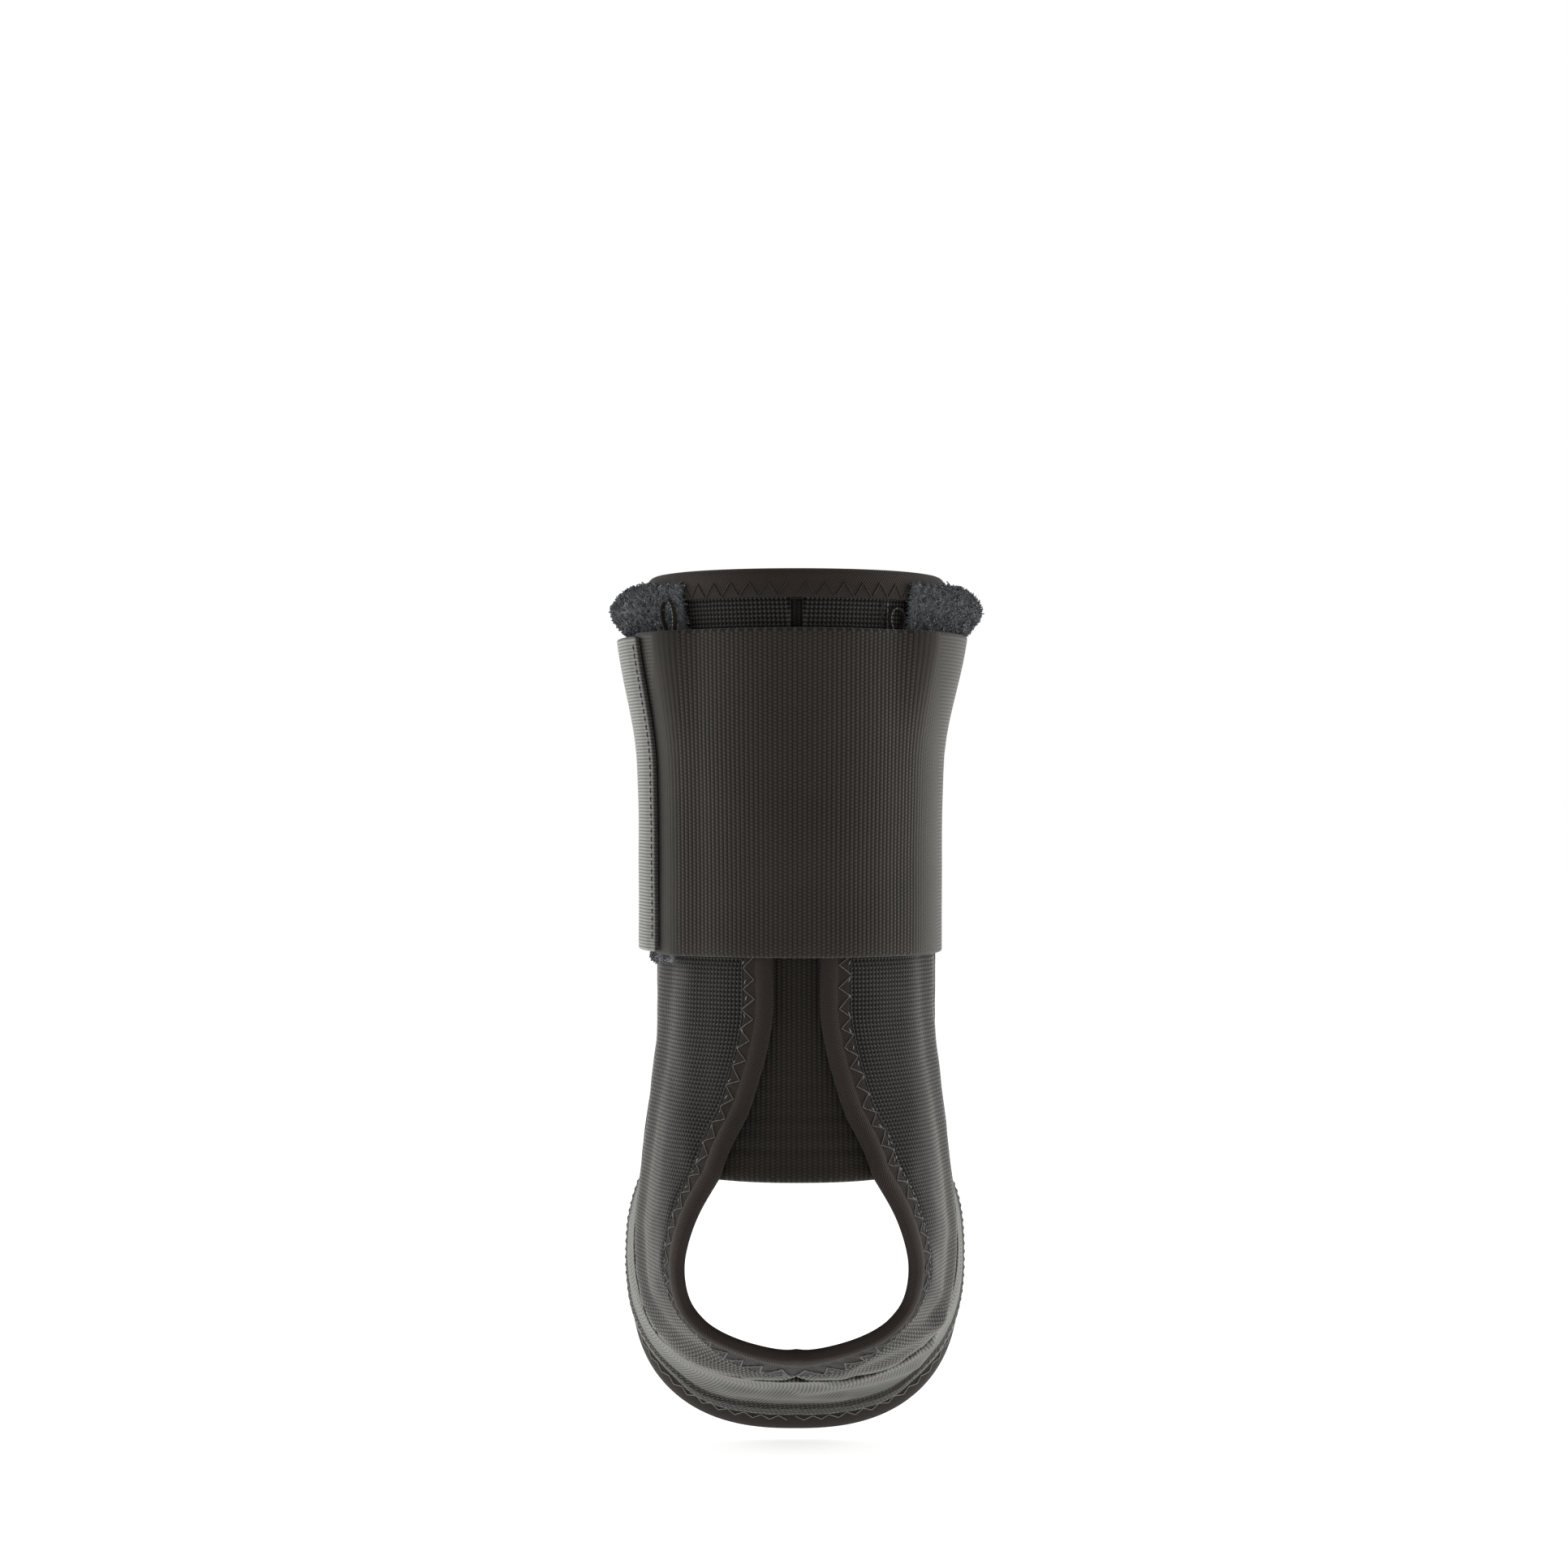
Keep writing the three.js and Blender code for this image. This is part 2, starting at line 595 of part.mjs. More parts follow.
// Strap under the arch and up both sides to the pile ends
function archStrap() {
  const start = bisect(openingBottomAlong, lastKnot, (along) => (
    surfacePoint(along, 0).distanceTo(surfacePoint(openingBottomAlong, 0)) > bindingWidth + strapSetback));
  const end = bisect(openingBottomAlong, lastKnot, (along) => (
    surfacePoint(along, 0).distanceTo(surfacePoint(lastKnot, 0)) < bindingWidth + strapSetback));
  const heightOf = (share) => share * (share < 0 ? archDrop : strapEndHeight);
  const endAlong = alongAtHeight(strapEndHeight);
  const half = [
    ...strapSoleRows.map((row) => [start, row.rearAngle * degree, end, row.frontAngle * degree]),
    ...strapSideRows.map((row) => [
      ...placeFromSide(archReach * row.rearY, heightOf(row.rearZ)),
      ...placeFromSide(archReach * row.frontY, heightOf(row.frontZ))]),
    [endAlong, strapEndAngles.rear * degree, endAlong, strapEndAngles.front * degree]];
  const at = half.map((_, k) => k);
  const halfSteps = 20;
  const place = (u, v) => {
    const way = 2 * v - 1;
    const row = splineAt(half, at, Math.abs(way) * (half.length - 1));
    const angle = lerp(row[1], row[3], u);
    return [lerp(row[0], row[2], u), way < 0 ? -angle : angle];
  };
  return sheet('arch_strap', materials.nylon, {
    rows: 2 * halfSteps, columns: 6, place, span: () => [strapInner, strapOuter] });
}

// Pile end of the strap: rises under the cuff and curls out above it
function strapPileEnd(name, mirror) {
  const ringSteps = 14;
  const { rear, front } = strapEndAngles;
  const outline = pileEndProfile.map((row) => new THREE.Vector2(row.rise, row.most));
  const rings = [];
  for (let k = 0; k <= ringSteps; k += 1) {
    const share = k / ringSteps;
    const bulge = smoothStep(0, pileEndEase.rise, share) * (1 - smoothStep(pileEndEase.fall, 1, share));
    rings.push(pileEndProfile.map((row) => {
      const height = lerp(strapEndHeight + layerGap, strapEndTop, row.rise);
      const stand = lerp(row.least, row.most, bulge);
      const angle = lerp(rear, front, share) * degree * (mirror ? -1 : 1);
      return offsetPoint(alongAtHeight(height), angle, overPanel + pileEndBulge * stand);
    }));
  }
  return closeLoft(loft(name, materials.pile, rings, false), outline);
}

// How far the cuff's inner face stands off the hollow: more at the sides, over the pile strip
// at the left, and towards the top
function cuffStandoff(height, angle) {
  const turn = Math.abs(angle) / degree;
  const { rear, rearFull, frontFull, front } = cuffSideAngles;
  const onSide = smoothStep(rear, rearFull, turn) * (1 - smoothStep(frontFull, front, turn));
  const onLeft = angle < 0 ? onSide : 0;
  const flare = cuffFlare * smoothStep(cuffTop - cuffFlareDrop, cuffTop + cuffFlareRise, height);
  const overPile = pileBackingThickness + layerGap;
  return lerp(cuffBaseStandoff, cuffSideStandoff, onSide) + flare * onSide
    + overPile * onLeft * (1 - cuffPileEase * flare / cuffFlare);
}

const wrapAngle = (angle) => (angle > Math.PI ? angle - 2 * Math.PI : angle);

// Elastic cuff: one turn whose two ends lie under the tab at the left
function elasticCuff() {
  const place = (u, v) => [
    alongAtHeight(lerp(cuffTop, cuffBottom, v)), lerp(cuffAngles.start, cuffAngles.end, u) * degree];
  const span = (u, v, along, angle) => {
    const stand = cuffStandoff(lerp(cuffTop, cuffBottom, v), wrapAngle(angle));
    return [stand, stand + cuffThickness];
  };
  return sheet('elastic_cuff', materials.elastic, { rows: 6, columns: 44, place, span });
}

// Tab that closes the cuff over its two ends
function cuffTab() {
  const place = (u, v) => [
    alongAtHeight(lerp(cuffTop - cuffTabInset, cuffBottom + cuffTabInset, v)),
    lerp(cuffTabAngles.front, cuffTabAngles.rear, u) * degree];
  const span = (u, v, along, angle) => {
    const stand = cuffStandoff(lerp(cuffTop, cuffBottom, v), angle) + cuffThickness + layerGap;
    return [stand, stand + cuffTabThickness];
  };
  return sheet('cuff_tab', materials.elastic, { rows: 8, columns: 9, place, span });
}

// Pile strip inside the cuff's left side, which shows below its lower edge
function pileStrip() {
  const place = (u, v) => [
    alongAtHeight(cuffBottom - pileStripDrop + pileStripHeight * (1 - v)),
    lerp(pileStripAngles.front, pileStripAngles.rear, u) * degree];
  const span = (u, v, along, angle) => {
    const stand = cuffStandoff(cuffBottom, angle) - layerGap;
    return [stand - pileBackingThickness, stand];
  };
  return sheet('cuff_pile_strip', materials.pile, { rows: 4, columns: 10, place, span });
}

// Tape over the panels' seam at the front
function frontSeamTape() {
  const from = alongAtHeight(topHeight - topBindingWidth - strapSetback);
  const to = bisect(hemAlong, lastKnot, (along) => (
    surfacePoint(along, Math.PI).distanceTo(surfacePoint(lastKnot, Math.PI)) < bindingWidth + strapSetback));
  const place = (u, v) => {
    const along = lerp(from, to, v);
    const half = frontSeamTapeWidth / 2 * (2 * u - 1);
    const angle = angleAtHalf(along, Math.max(Math.abs(half), hair), true);
    return [along, half < 0 ? 2 * Math.PI - angle : angle];
  };
  return sheet('front_seam_tape', materials.tape, {
    rows: 24, columns: 2, place, span: () => [overPanel, overPanel + seamTapeThickness] });
}

// Teardrop outline with its point at the foot
function teardrop(width, foot, top) {
  const outlineSteps = 14;
  return Array.from({ length: outlineSteps }, (_, k) => {
    const turn = 2 * Math.PI * k / outlineSteps;
    const wide = width / 2 * loopFullness * Math.sin(turn) * Math.sin(turn / 2);
    return new THREE.Vector2(wide, lerp(foot, top, (1 - Math.cos(turn)) / 2));
  });
}

// Small loop of folded tape that stands up out of the cuff's upper edge
function tapeLoop({ name, angle, standoff, rise, lean }) {
  const shape = new THREE.Shape(teardrop(loopSpread, 0, rise));
  shape.holes.push(new THREE.Path(teardrop(
    loopSpread - 2 * loopTapeThickness, 3 * loopTapeThickness, rise - loopTapeThickness)));
  const geometry = new THREE.ExtrudeGeometry(shape, { depth: loopTapeWidth, bevelEnabled: false });
  const foot = surfaceFrame(alongAtHeight(cuffTop - rise * loopSunkShare), angle * degree);
  const outward = foot.normal.clone().setZ(0).normalize();
  const upward = new THREE.Vector3(0, 0, 1);
  const sideways = upward.clone().cross(outward);
  const basis = new THREE.Matrix4().makeBasis(sideways, upward, outward);
  const mesh = new THREE.Mesh(geometry, materials.tape);
  mesh.name = name;
  mesh.applyMatrix4(new THREE.Matrix4().makeRotationZ(lean * degree));
  mesh.applyMatrix4(basis.setPosition(foot.point.addScaledVector(outward, standoff)));
  return mesh;
}

const topBindingSteps = 36;
const distalBindingSteps = 52;

// Where the tape loops stand: angle round the leg and lean in degrees
const tapeLoops = [
  { name: 'tape_loop_left', angle: -45.5, standoff: 5.9, rise: 12, lean: 10 },
  { name: 'tape_loop_right', angle: 38, standoff: 2.1, rise: 9, lean: -6 },
];

const brace = new THREE.Group();
brace.name = 'ankle_brace';
brace.add(
  sidePanel('side_panel_right', false),
  sidePanel('side_panel_left', true),
  achillesGore(),
  edgeSweep('top_binding', materials.tape, {
    places: ringPlaces(0, topBindingSteps), outline: channelOutline(topBindingWidth), closed: true,
    side: 1 }),
  heelOpeningBinding(),
  edgeSweep('distal_binding', materials.tape, {
    places: ringPlaces(lastKnot, distalBindingSteps), outline: channelOutline(bindingWidth), closed: true,
    side: -1 }),
  frontSeamTape(),
  archStrap(),
  strapPileEnd('strap_pile_end_right', false),
  strapPileEnd('strap_pile_end_left', true),
  elasticCuff(),
  cuffTab(),
  pileStrip(),
  ...tapeLoops.map((row) => tapeLoop(row)),
);

export default brace;
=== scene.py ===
import math

import bmesh
import bpy
import numpy as np
from bpy.props import FloatProperty, FloatVectorProperty, PointerProperty
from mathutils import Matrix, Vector


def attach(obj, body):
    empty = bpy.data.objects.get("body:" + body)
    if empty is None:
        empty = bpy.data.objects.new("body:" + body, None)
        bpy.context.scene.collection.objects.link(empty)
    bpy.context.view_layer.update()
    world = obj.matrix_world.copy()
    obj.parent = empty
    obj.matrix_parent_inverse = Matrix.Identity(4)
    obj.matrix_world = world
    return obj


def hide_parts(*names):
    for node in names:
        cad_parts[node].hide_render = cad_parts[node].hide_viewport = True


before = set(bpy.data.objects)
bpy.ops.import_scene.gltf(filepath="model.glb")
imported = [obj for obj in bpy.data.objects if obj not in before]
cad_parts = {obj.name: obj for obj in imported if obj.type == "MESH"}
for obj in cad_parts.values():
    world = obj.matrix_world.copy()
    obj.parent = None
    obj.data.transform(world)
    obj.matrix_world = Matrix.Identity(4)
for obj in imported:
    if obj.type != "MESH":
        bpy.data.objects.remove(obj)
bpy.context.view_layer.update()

bl_info = {
    "name": "Soft ankle brace",
    "version": (1, 0, 0),
    "blender": (4, 5, 0),
    "location": "View3D > Sidebar > Brace",
    "description": "Builds a boot-style soft ankle brace with bound edges and an elastic cuff",
    "category": "Add Mesh",
}

# Millimetres, as in the part's own source, turned into metres when a mesh is made
MM = 0.001
DEGREE = math.pi / 180

# Overall form of the hollow
TOP_HEIGHT, TOP_WIDTH, TOP_DEPTH = 155, 77, 83
ANKLE_WIDTH, FOOT_WIDTH, ANKLE_HEIGHT = 70.4, 94, 45
HEEL_REACH, HEEL_DROP = 47, 58.5
ARCH_REACH, ARCH_DROP, ARCH_FRONT_DROP = 62, 92.5, 6.5
INSTEP_REACH, INSTEP_HEIGHT = 83, 30

# Cloth, tape and the gaps between layers
PANEL, GORE, TAPE, STRAP = 1.6, 1.2, 1.0, 1.5
CUFF, CUFF_TAB, SEAM_TAPE, PILE_BACKING = 1.6, 1.2, 0.8, 1.0
LAYER_GAP, STRAP_SEAT = 0.5, 0.9
OVER_PANEL = PANEL + LAYER_GAP
STRAP_INNER = PANEL + STRAP_SEAT

# Heel opening, the slit above it and the edge bindings
HEM_HEIGHT, HEM_WIDTH = -6, 43
OPENING_WIDTH, OPENING_BOTTOM = 62, -60.5
GORE_OVERLAP, GORE_HEM_FOLD, GORE_TOP_CLEARANCE = 4, 5, 6.6
BINDING_WIDTH, TOP_BINDING_WIDTH = 6.2, 5.8
BINDING_LIP, LIP_GAP, CHANNEL_GAP, INNER_LEG_SHARE = 1.0, 0.65, 0.7, 0.8
ROLL_WIDTH, SOLE_LIP, SOLE_WIDENING = 2.6, 5.0, 3.2

# Cuff, strap ends and pile
CUFF_TOP, CUFF_BOTTOM = 140.3, 53.5
HEEL_BINDING_TOP = CUFF_BOTTOM + 24.5
STRAP_END_HEIGHT, STRAP_END_TOP = 111, 153.4
STRAP_END_ANGLES = (44, 126)
STRAP_SETBACK, PILE_END_BULGE = 1.1, 9.2
CUFF_ANGLES, CUFF_TAB_ANGLES, PILE_STRIP_ANGLES = (-61, 254), (-132, -57), (-100, -52)
CUFF_SIDE_ANGLES = (34, 50, 134, 150)
CUFF_BASE_STANDOFF, CUFF_SIDE_STANDOFF, CUFF_FLARE = 3.6, 4.2, 5.0
PILE_STRIP_DROP, PILE_STRIP_HEIGHT = 2.4, 16
FRONT_SEAM_TAPE_WIDTH = 10

# Sections of the hollow as shares of the sizes above
LEG_SECTIONS = [  # height, width, rear, front
    (1.0, 1.0, 0.988, 1.012), (0.903, 0.976, 0.982, 1.0), (0.742, 0.938, 0.964, 0.988),
    (0.58, 0.919, 0.94, 0.976), (0.42, 0.916, 0.918, 0.98),
]
ANKLE_SECTION = (-0.804, 0.496)  # rear reach, front reach
FOOT_SECTIONS = [  # rear reach, rear drop, front reach, front height, width, squareness
    (-0.808, -0.5, 0.522, 1.2, 0.0, 2.15), (-0.82, -0.245, 0.565, 0.97, 0.1, 2.15),
    (-0.872, -0.056, 0.615, 0.75, 0.18, 2.2), (-0.957, 0.205, 0.673, 0.54, 0.29, 2.25),
    (-1.0, 0.48, 0.73, 0.36, 0.4, 2.3), (-0.936, 0.7, 0.785, 0.22, 0.5, 2.3),
    (-0.745, 0.85, 0.83, 0.12, 0.59, 2.35), (-0.51, 0.95, 0.866, 0.04, 0.67, 2.4),
    (-0.3, 1.035, 0.897, -0.03, 0.74, 2.4),
]
ARCH_SECTIONS = [  # along, drop, front reach, front drop, width
    (-0.08, 0.695, 0.915, 0.289, 0.8), (0.226, 0.74, 0.938, 0.498, 0.87),
    (0.56, 0.8, 0.962, 0.699, 0.94), (0.8, 0.87, 0.98, 0.849, 0.975),
    (0.925, 0.932, 0.991, 0.93, 0.99), (1.0, 1.0, 1.0, 1.0, 1.0),
]
LEG_SQUARENESS, ARCH_SQUARENESS = 2.1, 2.5
SLIT_ROWS = [  # rise above the hem, half width
    (1.0, 0.107), (0.913, 0.115), (0.658, 0.2), (0.472, 0.31), (0.36, 0.365), (0.267, 0.37),
    (0.205, 0.445), (0.157, 0.54), (0.093, 0.7), (0.037, 0.905), (0.0, 1.0),
]
OPENING_ROWS = [  # fall below the hem, half width
    (0.185, 0.87), (0.33, 0.96), (0.46, 1.0), (0.587, 0.985), (0.68, 0.93), (0.77, 0.8),
    (0.85, 0.62), (0.92, 0.42), (0.97, 0.22), (1.0, 0.0),
]
STRAP_SOLE_ROWS = [(0, 0), (17, 17), (34, 36)]  # rear angle, front angle
STRAP_SIDE_ROWS = [  # rear y, rear z, front y, front z
    (0.13, -0.59, 0.925, -0.8), (0.16, -0.38, 0.99, -0.56), (0.13, -0.16, 0.96, -0.3),
    (0.07, 0.05, 0.83, -0.02), (0.0, 0.25, 0.63, 0.2), (-0.07, 0.48, 0.49, 0.45),
    (-0.2, 0.76, 0.42, 0.75),
]
PILE_END_PROFILE = [  # rise, least and most standoff
    (0.0, 0.16, 0.16), (0.24, 0.17, 0.3), (0.46, 0.18, 0.45), (0.66, 0.19, 0.57), (0.77, 0.22, 0.95),
    (0.87, 0.28, 1.2), (0.965, 0.3, 0.92), (1.0, 0.26, 0.5), (0.97, 0.18, 0.22), (0.88, 0.18, 0.5),
    (0.79, 0.12, 0.52), (0.7, 0.0, 0.3), (0.56, 0.0, 0.13), (0.32, 0.0, 0.03), (0.0, 0.0, 0.0),
]

# Rows of a fold: start x, z and end x, z seen from behind, width and rise, all in millimetres
SOLE_FOLDS = [
    (10, -70, 38, -60, 2.2, 1.5), (2, -78, 36, -73, 2.4, 1.3), (-34, -66, -10, -75, 3.0, 0.6),
    (-20, -80, 14, -83, 2.4, 0.7),
]
PANEL_FOLDS = [
    (-29, 52, -29, -2, 3.2, 0.55), (31, 52, 31, -4, 3.4, 0.5), (-33, 40, -36, -40, 5.0, 0.4),
    (36, 30, 39, -42, 5.0, 0.45), (12, -62, 40, -52, 2.0, 1.5), (14, -69, 42, -60, 2.2, 1.4),
    (34, -30, 44, -56, 2.6, 0.7), (-36, -30, -44, -58, 2.8, 0.5), (-14, -66, -36, -60, 2.4, 0.5),
    (30, -8, 42, -26, 3.0, 0.35), (-29, -10, -42, -24, 3.0, 0.3),
]
FOLDS_END, FOLDS_FULL = 30, -5

# Unevenness of a cloth: rise, size of the swellings and seed
PANEL_UNEVEN, STRAP_UNEVEN = [(0.18, 34, 3), (0.06, 9, 5)], [(0.16, 26, 9), (0.07, 8, 10)]
GORE_UNEVEN, SEAM_TAPE_UNEVEN, HEEL_TAPE_UNEVEN = [(0.12, 16, 8)], [(0.08, 10, 17)], [(0.1, 12, 11)]
CUFF_UNEVEN, CUFF_TAB_UNEVEN, PILE_STRIP_UNEVEN = [(0.1, 30, 14)], [(0.12, 24, 15)], [(0.2, 6, 16)]
PILE_END_UNEVEN = [(0.35, 7, 21), (0.2, 3, 22)]
NOISE_WAVES, NOISE_SPREAD, NOISE_SHIFT, NOISE_SHARE = 7, (0.7, 1.5), 6.3, 4

# Grooves pulled in by a seam: distance or share where it lies, width and depth
GORE_GROOVE, CUFF_GROOVE = (6.5, 1.0, 0.5), (2.1, 0.5, 0.25)
STRAP_GROOVE, CUFF_TAB_GROOVE = (0.915, 0.012, 0.35), (0.955, 0.012, 0.3)

# Rows of even stitches: pitch, length and thickness of the thread
STRAP_STITCHES, SEAM_TAPE_STITCHES = (2.4, 1.5, 0.4), (2.6, 1.8, 0.45)
HEEL_LINE, HEEL_DOTS = (1.5, 1.5, 0.4), (2.0, 1.0, 0.32)
TOP_SEAM_LINE, TOP_SEAM_DOTS = (2.4, 2.4, 0.5), (1.7, 0.9, 0.35)
CUFF_TAB_SEAM, CUFF_TAB_TACK, LOOP_STITCHES = (2.2, 1.9, 0.55), (1.5, 1.0, 0.5), (1.1, 0.6, 0.26)

# Zigzags: near and far edge on the tape, pitch, lift, jitter of the corners and seed, then the thread
TOP_ZIGZAG, TOP_THREAD = (0.2, 4.2, 5.3, 0.06, 0.15, 1), 0.34
DISTAL_ZIGZAG, DISTAL_THREAD = (1.4, 3.2, 5.2, 0.08, 0.15, 3), 0.3
HEEL_ZIGZAG, HEEL_THREAD = (0.3, 4.3, 5.6, 0.06, 0.35, 6), 0.32
HEEL_KNOTS, HEEL_KNOT_THREAD, HEEL_KNOT_EVERY = (0.3, 1.6, 5.6, 0.12, 0.4, 7), 0.28, 5
LEG_PARTS = 3  # lengths that one leg of a zigzag is bent into

# Tape loops: name, angle round the leg, standoff, rise, lean and width of the tape
TAPE_LOOPS = [
    ("tape_loop_left", -45.5, 5.9, 12.6, 15, 1.4),
    ("tape_loop_right", 38, 2.1, 9, -6, 1.4),
]
LOOP_SPREAD, LOOP_SUNK, LOOP_TAPE, LOOP_DROP = 5, 0.25, 0.4, 1.5
LOOP_RIM_LEFT, LOOP_RIM_RIGHT, LOOP_RIM_POINT, LOOP_RIM_LIFT = slice(6, 34), slice(38, 66), 4, 0.02

# Relief of the panels: calmer towards the front, swollen to the strap and flared at the foot edge
PANEL_COVER_START, PANEL_COVER_CALM, PANEL_TUCK, PANEL_RUN = 0.3, 0.7, 0.6, 3
SWELL_ABOVE, SWELL_BELOW = 14, 4
SWELL_RISE, SWELL_OUTSIDE, SWELL_INSIDE = 2.15, (13, 0.8), (-0.9, 0.1)
DISTAL_FLARE, FLARE_RUN, FLARE_SIDES, FLARE_HEIGHTS = 1.2, 15, (0.35, 1.0), (-64, -36)
TOP_SEAM_HALVES, TOP_SEAM_LIFT = (22.0, 23.6), 0.08

# Relief of the gore, strap and seam tape
GORE_RIPPLE_HEIGHTS, GORE_RIPPLE_RISE, GORE_RIPPLE_PITCH = (45, 12), 0.22, 4.2
GORE_RIB_PITCH, GORE_RIB_DEPTH, GORE_RIB_EDGE = 1.4, 0.1, (3.0, 7.0)
STRAP_HEM_RISE, STRAP_HEM, STRAP_FOLD_REAR, STRAP_FOLD_FRONT = 0.55, (0.925, 0.94), (-0.05, 0.1), (0.95, 0.8)
STRAP_SEAM_SHARE, SEAM_TAPE_RISE, SEAM_TAPE_INSET = 0.95, 0.25, 1.3

# Tape round the heel opening: a roll at the rim, a puckered leg and a wider zone under the heel
SOLE_HEIGHTS, SOLE_MIDDLE_LIP, SOLE_MIDDLE_WIDTH, ROLL_SHIFT = (-47, -58), 3.0, 7, 0.8
QUILTED_SIDE, QUILTED_DROP, PUCKER_PITCH, PUCKER_POWER, PUCKER_CALM = (-4, 12), (20, 34), 3.6, 0.7, 0.25
ROLL_RISE, ROLL_START, ROLL_POWER, ROLL_SINK = 0.95, 0.06, 0.6, 0.5
LEG_RISE, LEG_SINK, LEG_START, LEG_FULL = 0.5, 0.1, 0.8, 0.6
TAPE_EDGE_DROP, TAPE_EDGE_RUN = 0.35, 0.7
HEEL_STEP_GAP, HEEL_SMOOTH_SPAN, HEEL_SMOOTH_ROUNDS = 0.4, 34, 160
TOP_ROLL, DISTAL_ROLL = 0.25, 0.35

# Cuff and tab: ribs that stop at the hems and flatten round the sides
CUFF_FLARE_START, CUFF_FLARE_END, PILE_FADE = 36.3, 6, 0.625
CUFF_HEM, CUFF_TAB_HEM, CUFF_FLAT_SIDE, CUFF_FLAT_SHARE = (1.6, 2.4), (1.2, 2.0), (30, 37), 0.85
CUFF_TAB_INSET, CUFF_TAB_RIB_PITCH, CUFF_TAB_RIB_DEPTH = 0.6, 0.9, 0.16
CUFF_TAB_SEAM_INSET, CUFF_TAB_TACK_INSET, CUFF_TAB_TACK_ENDS = 2.0, 6.3, (6.5, 2.6)

# Pile: fibres of each end and of the strip, share of the full length, and where a bulge starts and ends
PILE_END_FIBRES, PILE_STRIP_FIBRES, PILE_STRIP_SHARE = 4600, 1500, 0.7
PILE_END_SEED, PILE_STRIP_SEED, PILE_TUCK = 12, 31, 4
BULGE_RISE, BULGE_FALL, LUMP_START, PILE_END_LENGTH = 0.42, 0.66, (0.55, 0.8), 42

# Grids of the cloths, rows down and columns across, and how close they lie near the edges
PANEL_ROWS, ARCH_ROWS, PANEL_COLUMNS, PANEL_SLIT_BIAS, PANEL_CLOSENESS = 70, 30, 90, 1.5, 0.08
GORE_GRID, STRAP_GRID, CUFF_GRID, CUFF_CLOSENESS = (110, 150), (320, 46), (20, 1150), 0.04
CUFF_TAB_GRID, PILE_STRIP_GRID, SEAM_TAPE_GRID = (480, 24), (24, 56), (150, 16)
TOP_RING_STEPS, DISTAL_RING_STEPS, CHANNEL_STEPS, CHANNEL_BEND = 260, 360, 15, 11
HEEL_SLIT_STEPS, HEEL_OPENING_STEPS, HEEL_STEPS = 170, 110, 23
PILE_END_STEPS, PILE_END_SECTION, LOOP_STEPS, LOOP_SECTION = 44, 84, 72, 16
INNER_RISE_SHARE, PANEL_INNER_RISE_SHARE = 0.6, 0.7
RIM_TURNS, WALK_STEPS, FINE_HALVINGS, EDGE_POINTS, STRAP_EDGE_POINTS = (0.8, 0, -0.8), 3, 40, 160, 420

# Looks that all cloths share: fuzz, painted bounce light in patches near the sole, and a painted sheen, a
# paler tone where a cloth is seen edge-on
FUZZ_SHARE, SHEEN_ROUGHNESS, THREAD_SHEEN_ROUGHNESS, THREAD_BUMP = 0.3, 0.4, 0.5, 0.00008
SLOW_SCALE, FAST_SCALE, SPECKLE, TONE_CONTRAST = 55.0, 2600.0, 0.25, 0.35
# Painted bounce light near the sole: height where it starts, how fast it grows and how patchy it is
PAINTED_BOUNCE_HEIGHT, PAINTED_BOUNCE_RUN, PAINTED_BOUNCE_PATCHES = -0.043, 0.014, 1.2
# Strength of the painted sheen on the threads on top and its base, then the rib settings
PAINTED_SHEEN_GAIN, PAINTED_SHEEN_BASE, FLAT_RIB, SIDE_BLEND, RIB_MIDDLE = 1.3, 0.45, 0.7, 0.007, 0.6
WANDER_SCALE, THREAD_ROUNDNESS = 260.0, 0.6

# Stage, in metres and watts
CAMERA_DISTANCE, CAMERA_SIDE, CAMERA_HEIGHT, FRAME_WIDTH, SENSOR = 0.85, -0.0034, 0.0992, 0.4416, 36.0
FLOOR_HEIGHT, FLOOR_RADIUS, FLOOR_GLOW, WORLD_LIGHT = -0.0985, 6, 0.6, 0.45
LIGHT_PLACE, LIGHT_TARGET, LIGHT_SIZE, LIGHT_POWER = (0.9, 0.15, 0.1), (0, 0, 0.03), (0.9, 1.1), 10


def lerp(start, end, share):
    return start + (end - start) * share


def smooth_step(low, high, value):
    share = np.clip((value - low) / (high - low), 0, 1)
    return share * share * (3 - 2 * share)


def unit(vectors):
    return vectors / np.maximum(np.linalg.norm(vectors, axis=-1, keepdims=True), 1e-12)


def spline(rows, at, position):
    """Cubic spline with chord tangents through rows of numbers at rising knots."""
    rows, at, position = np.asarray(rows, float), np.asarray(at, float), np.asarray(position, float)
    last = len(at) - 1
    k = np.clip(np.searchsorted(at, position, side="left") - 1, 0, last - 1)
    before, after = np.maximum(k - 1, 0), np.minimum(k + 2, last)
    span = (at[k + 1] - at[k])[..., None]
    share = (position - at[k])[..., None] / span
    square, cube = share ** 2, share ** 3
    start_slope = (rows[k + 1] - rows[before]) / (at[k + 1] - at[before])[..., None]
    end_slope = (rows[after] - rows[k]) / (at[after] - at[k])[..., None]
    return ((2 * cube - 3 * square + 1) * rows[k] + (cube - 2 * square + share) * span * start_slope
            + (3 * square - 2 * cube) * rows[k + 1] + (cube - square) * span * end_slope)


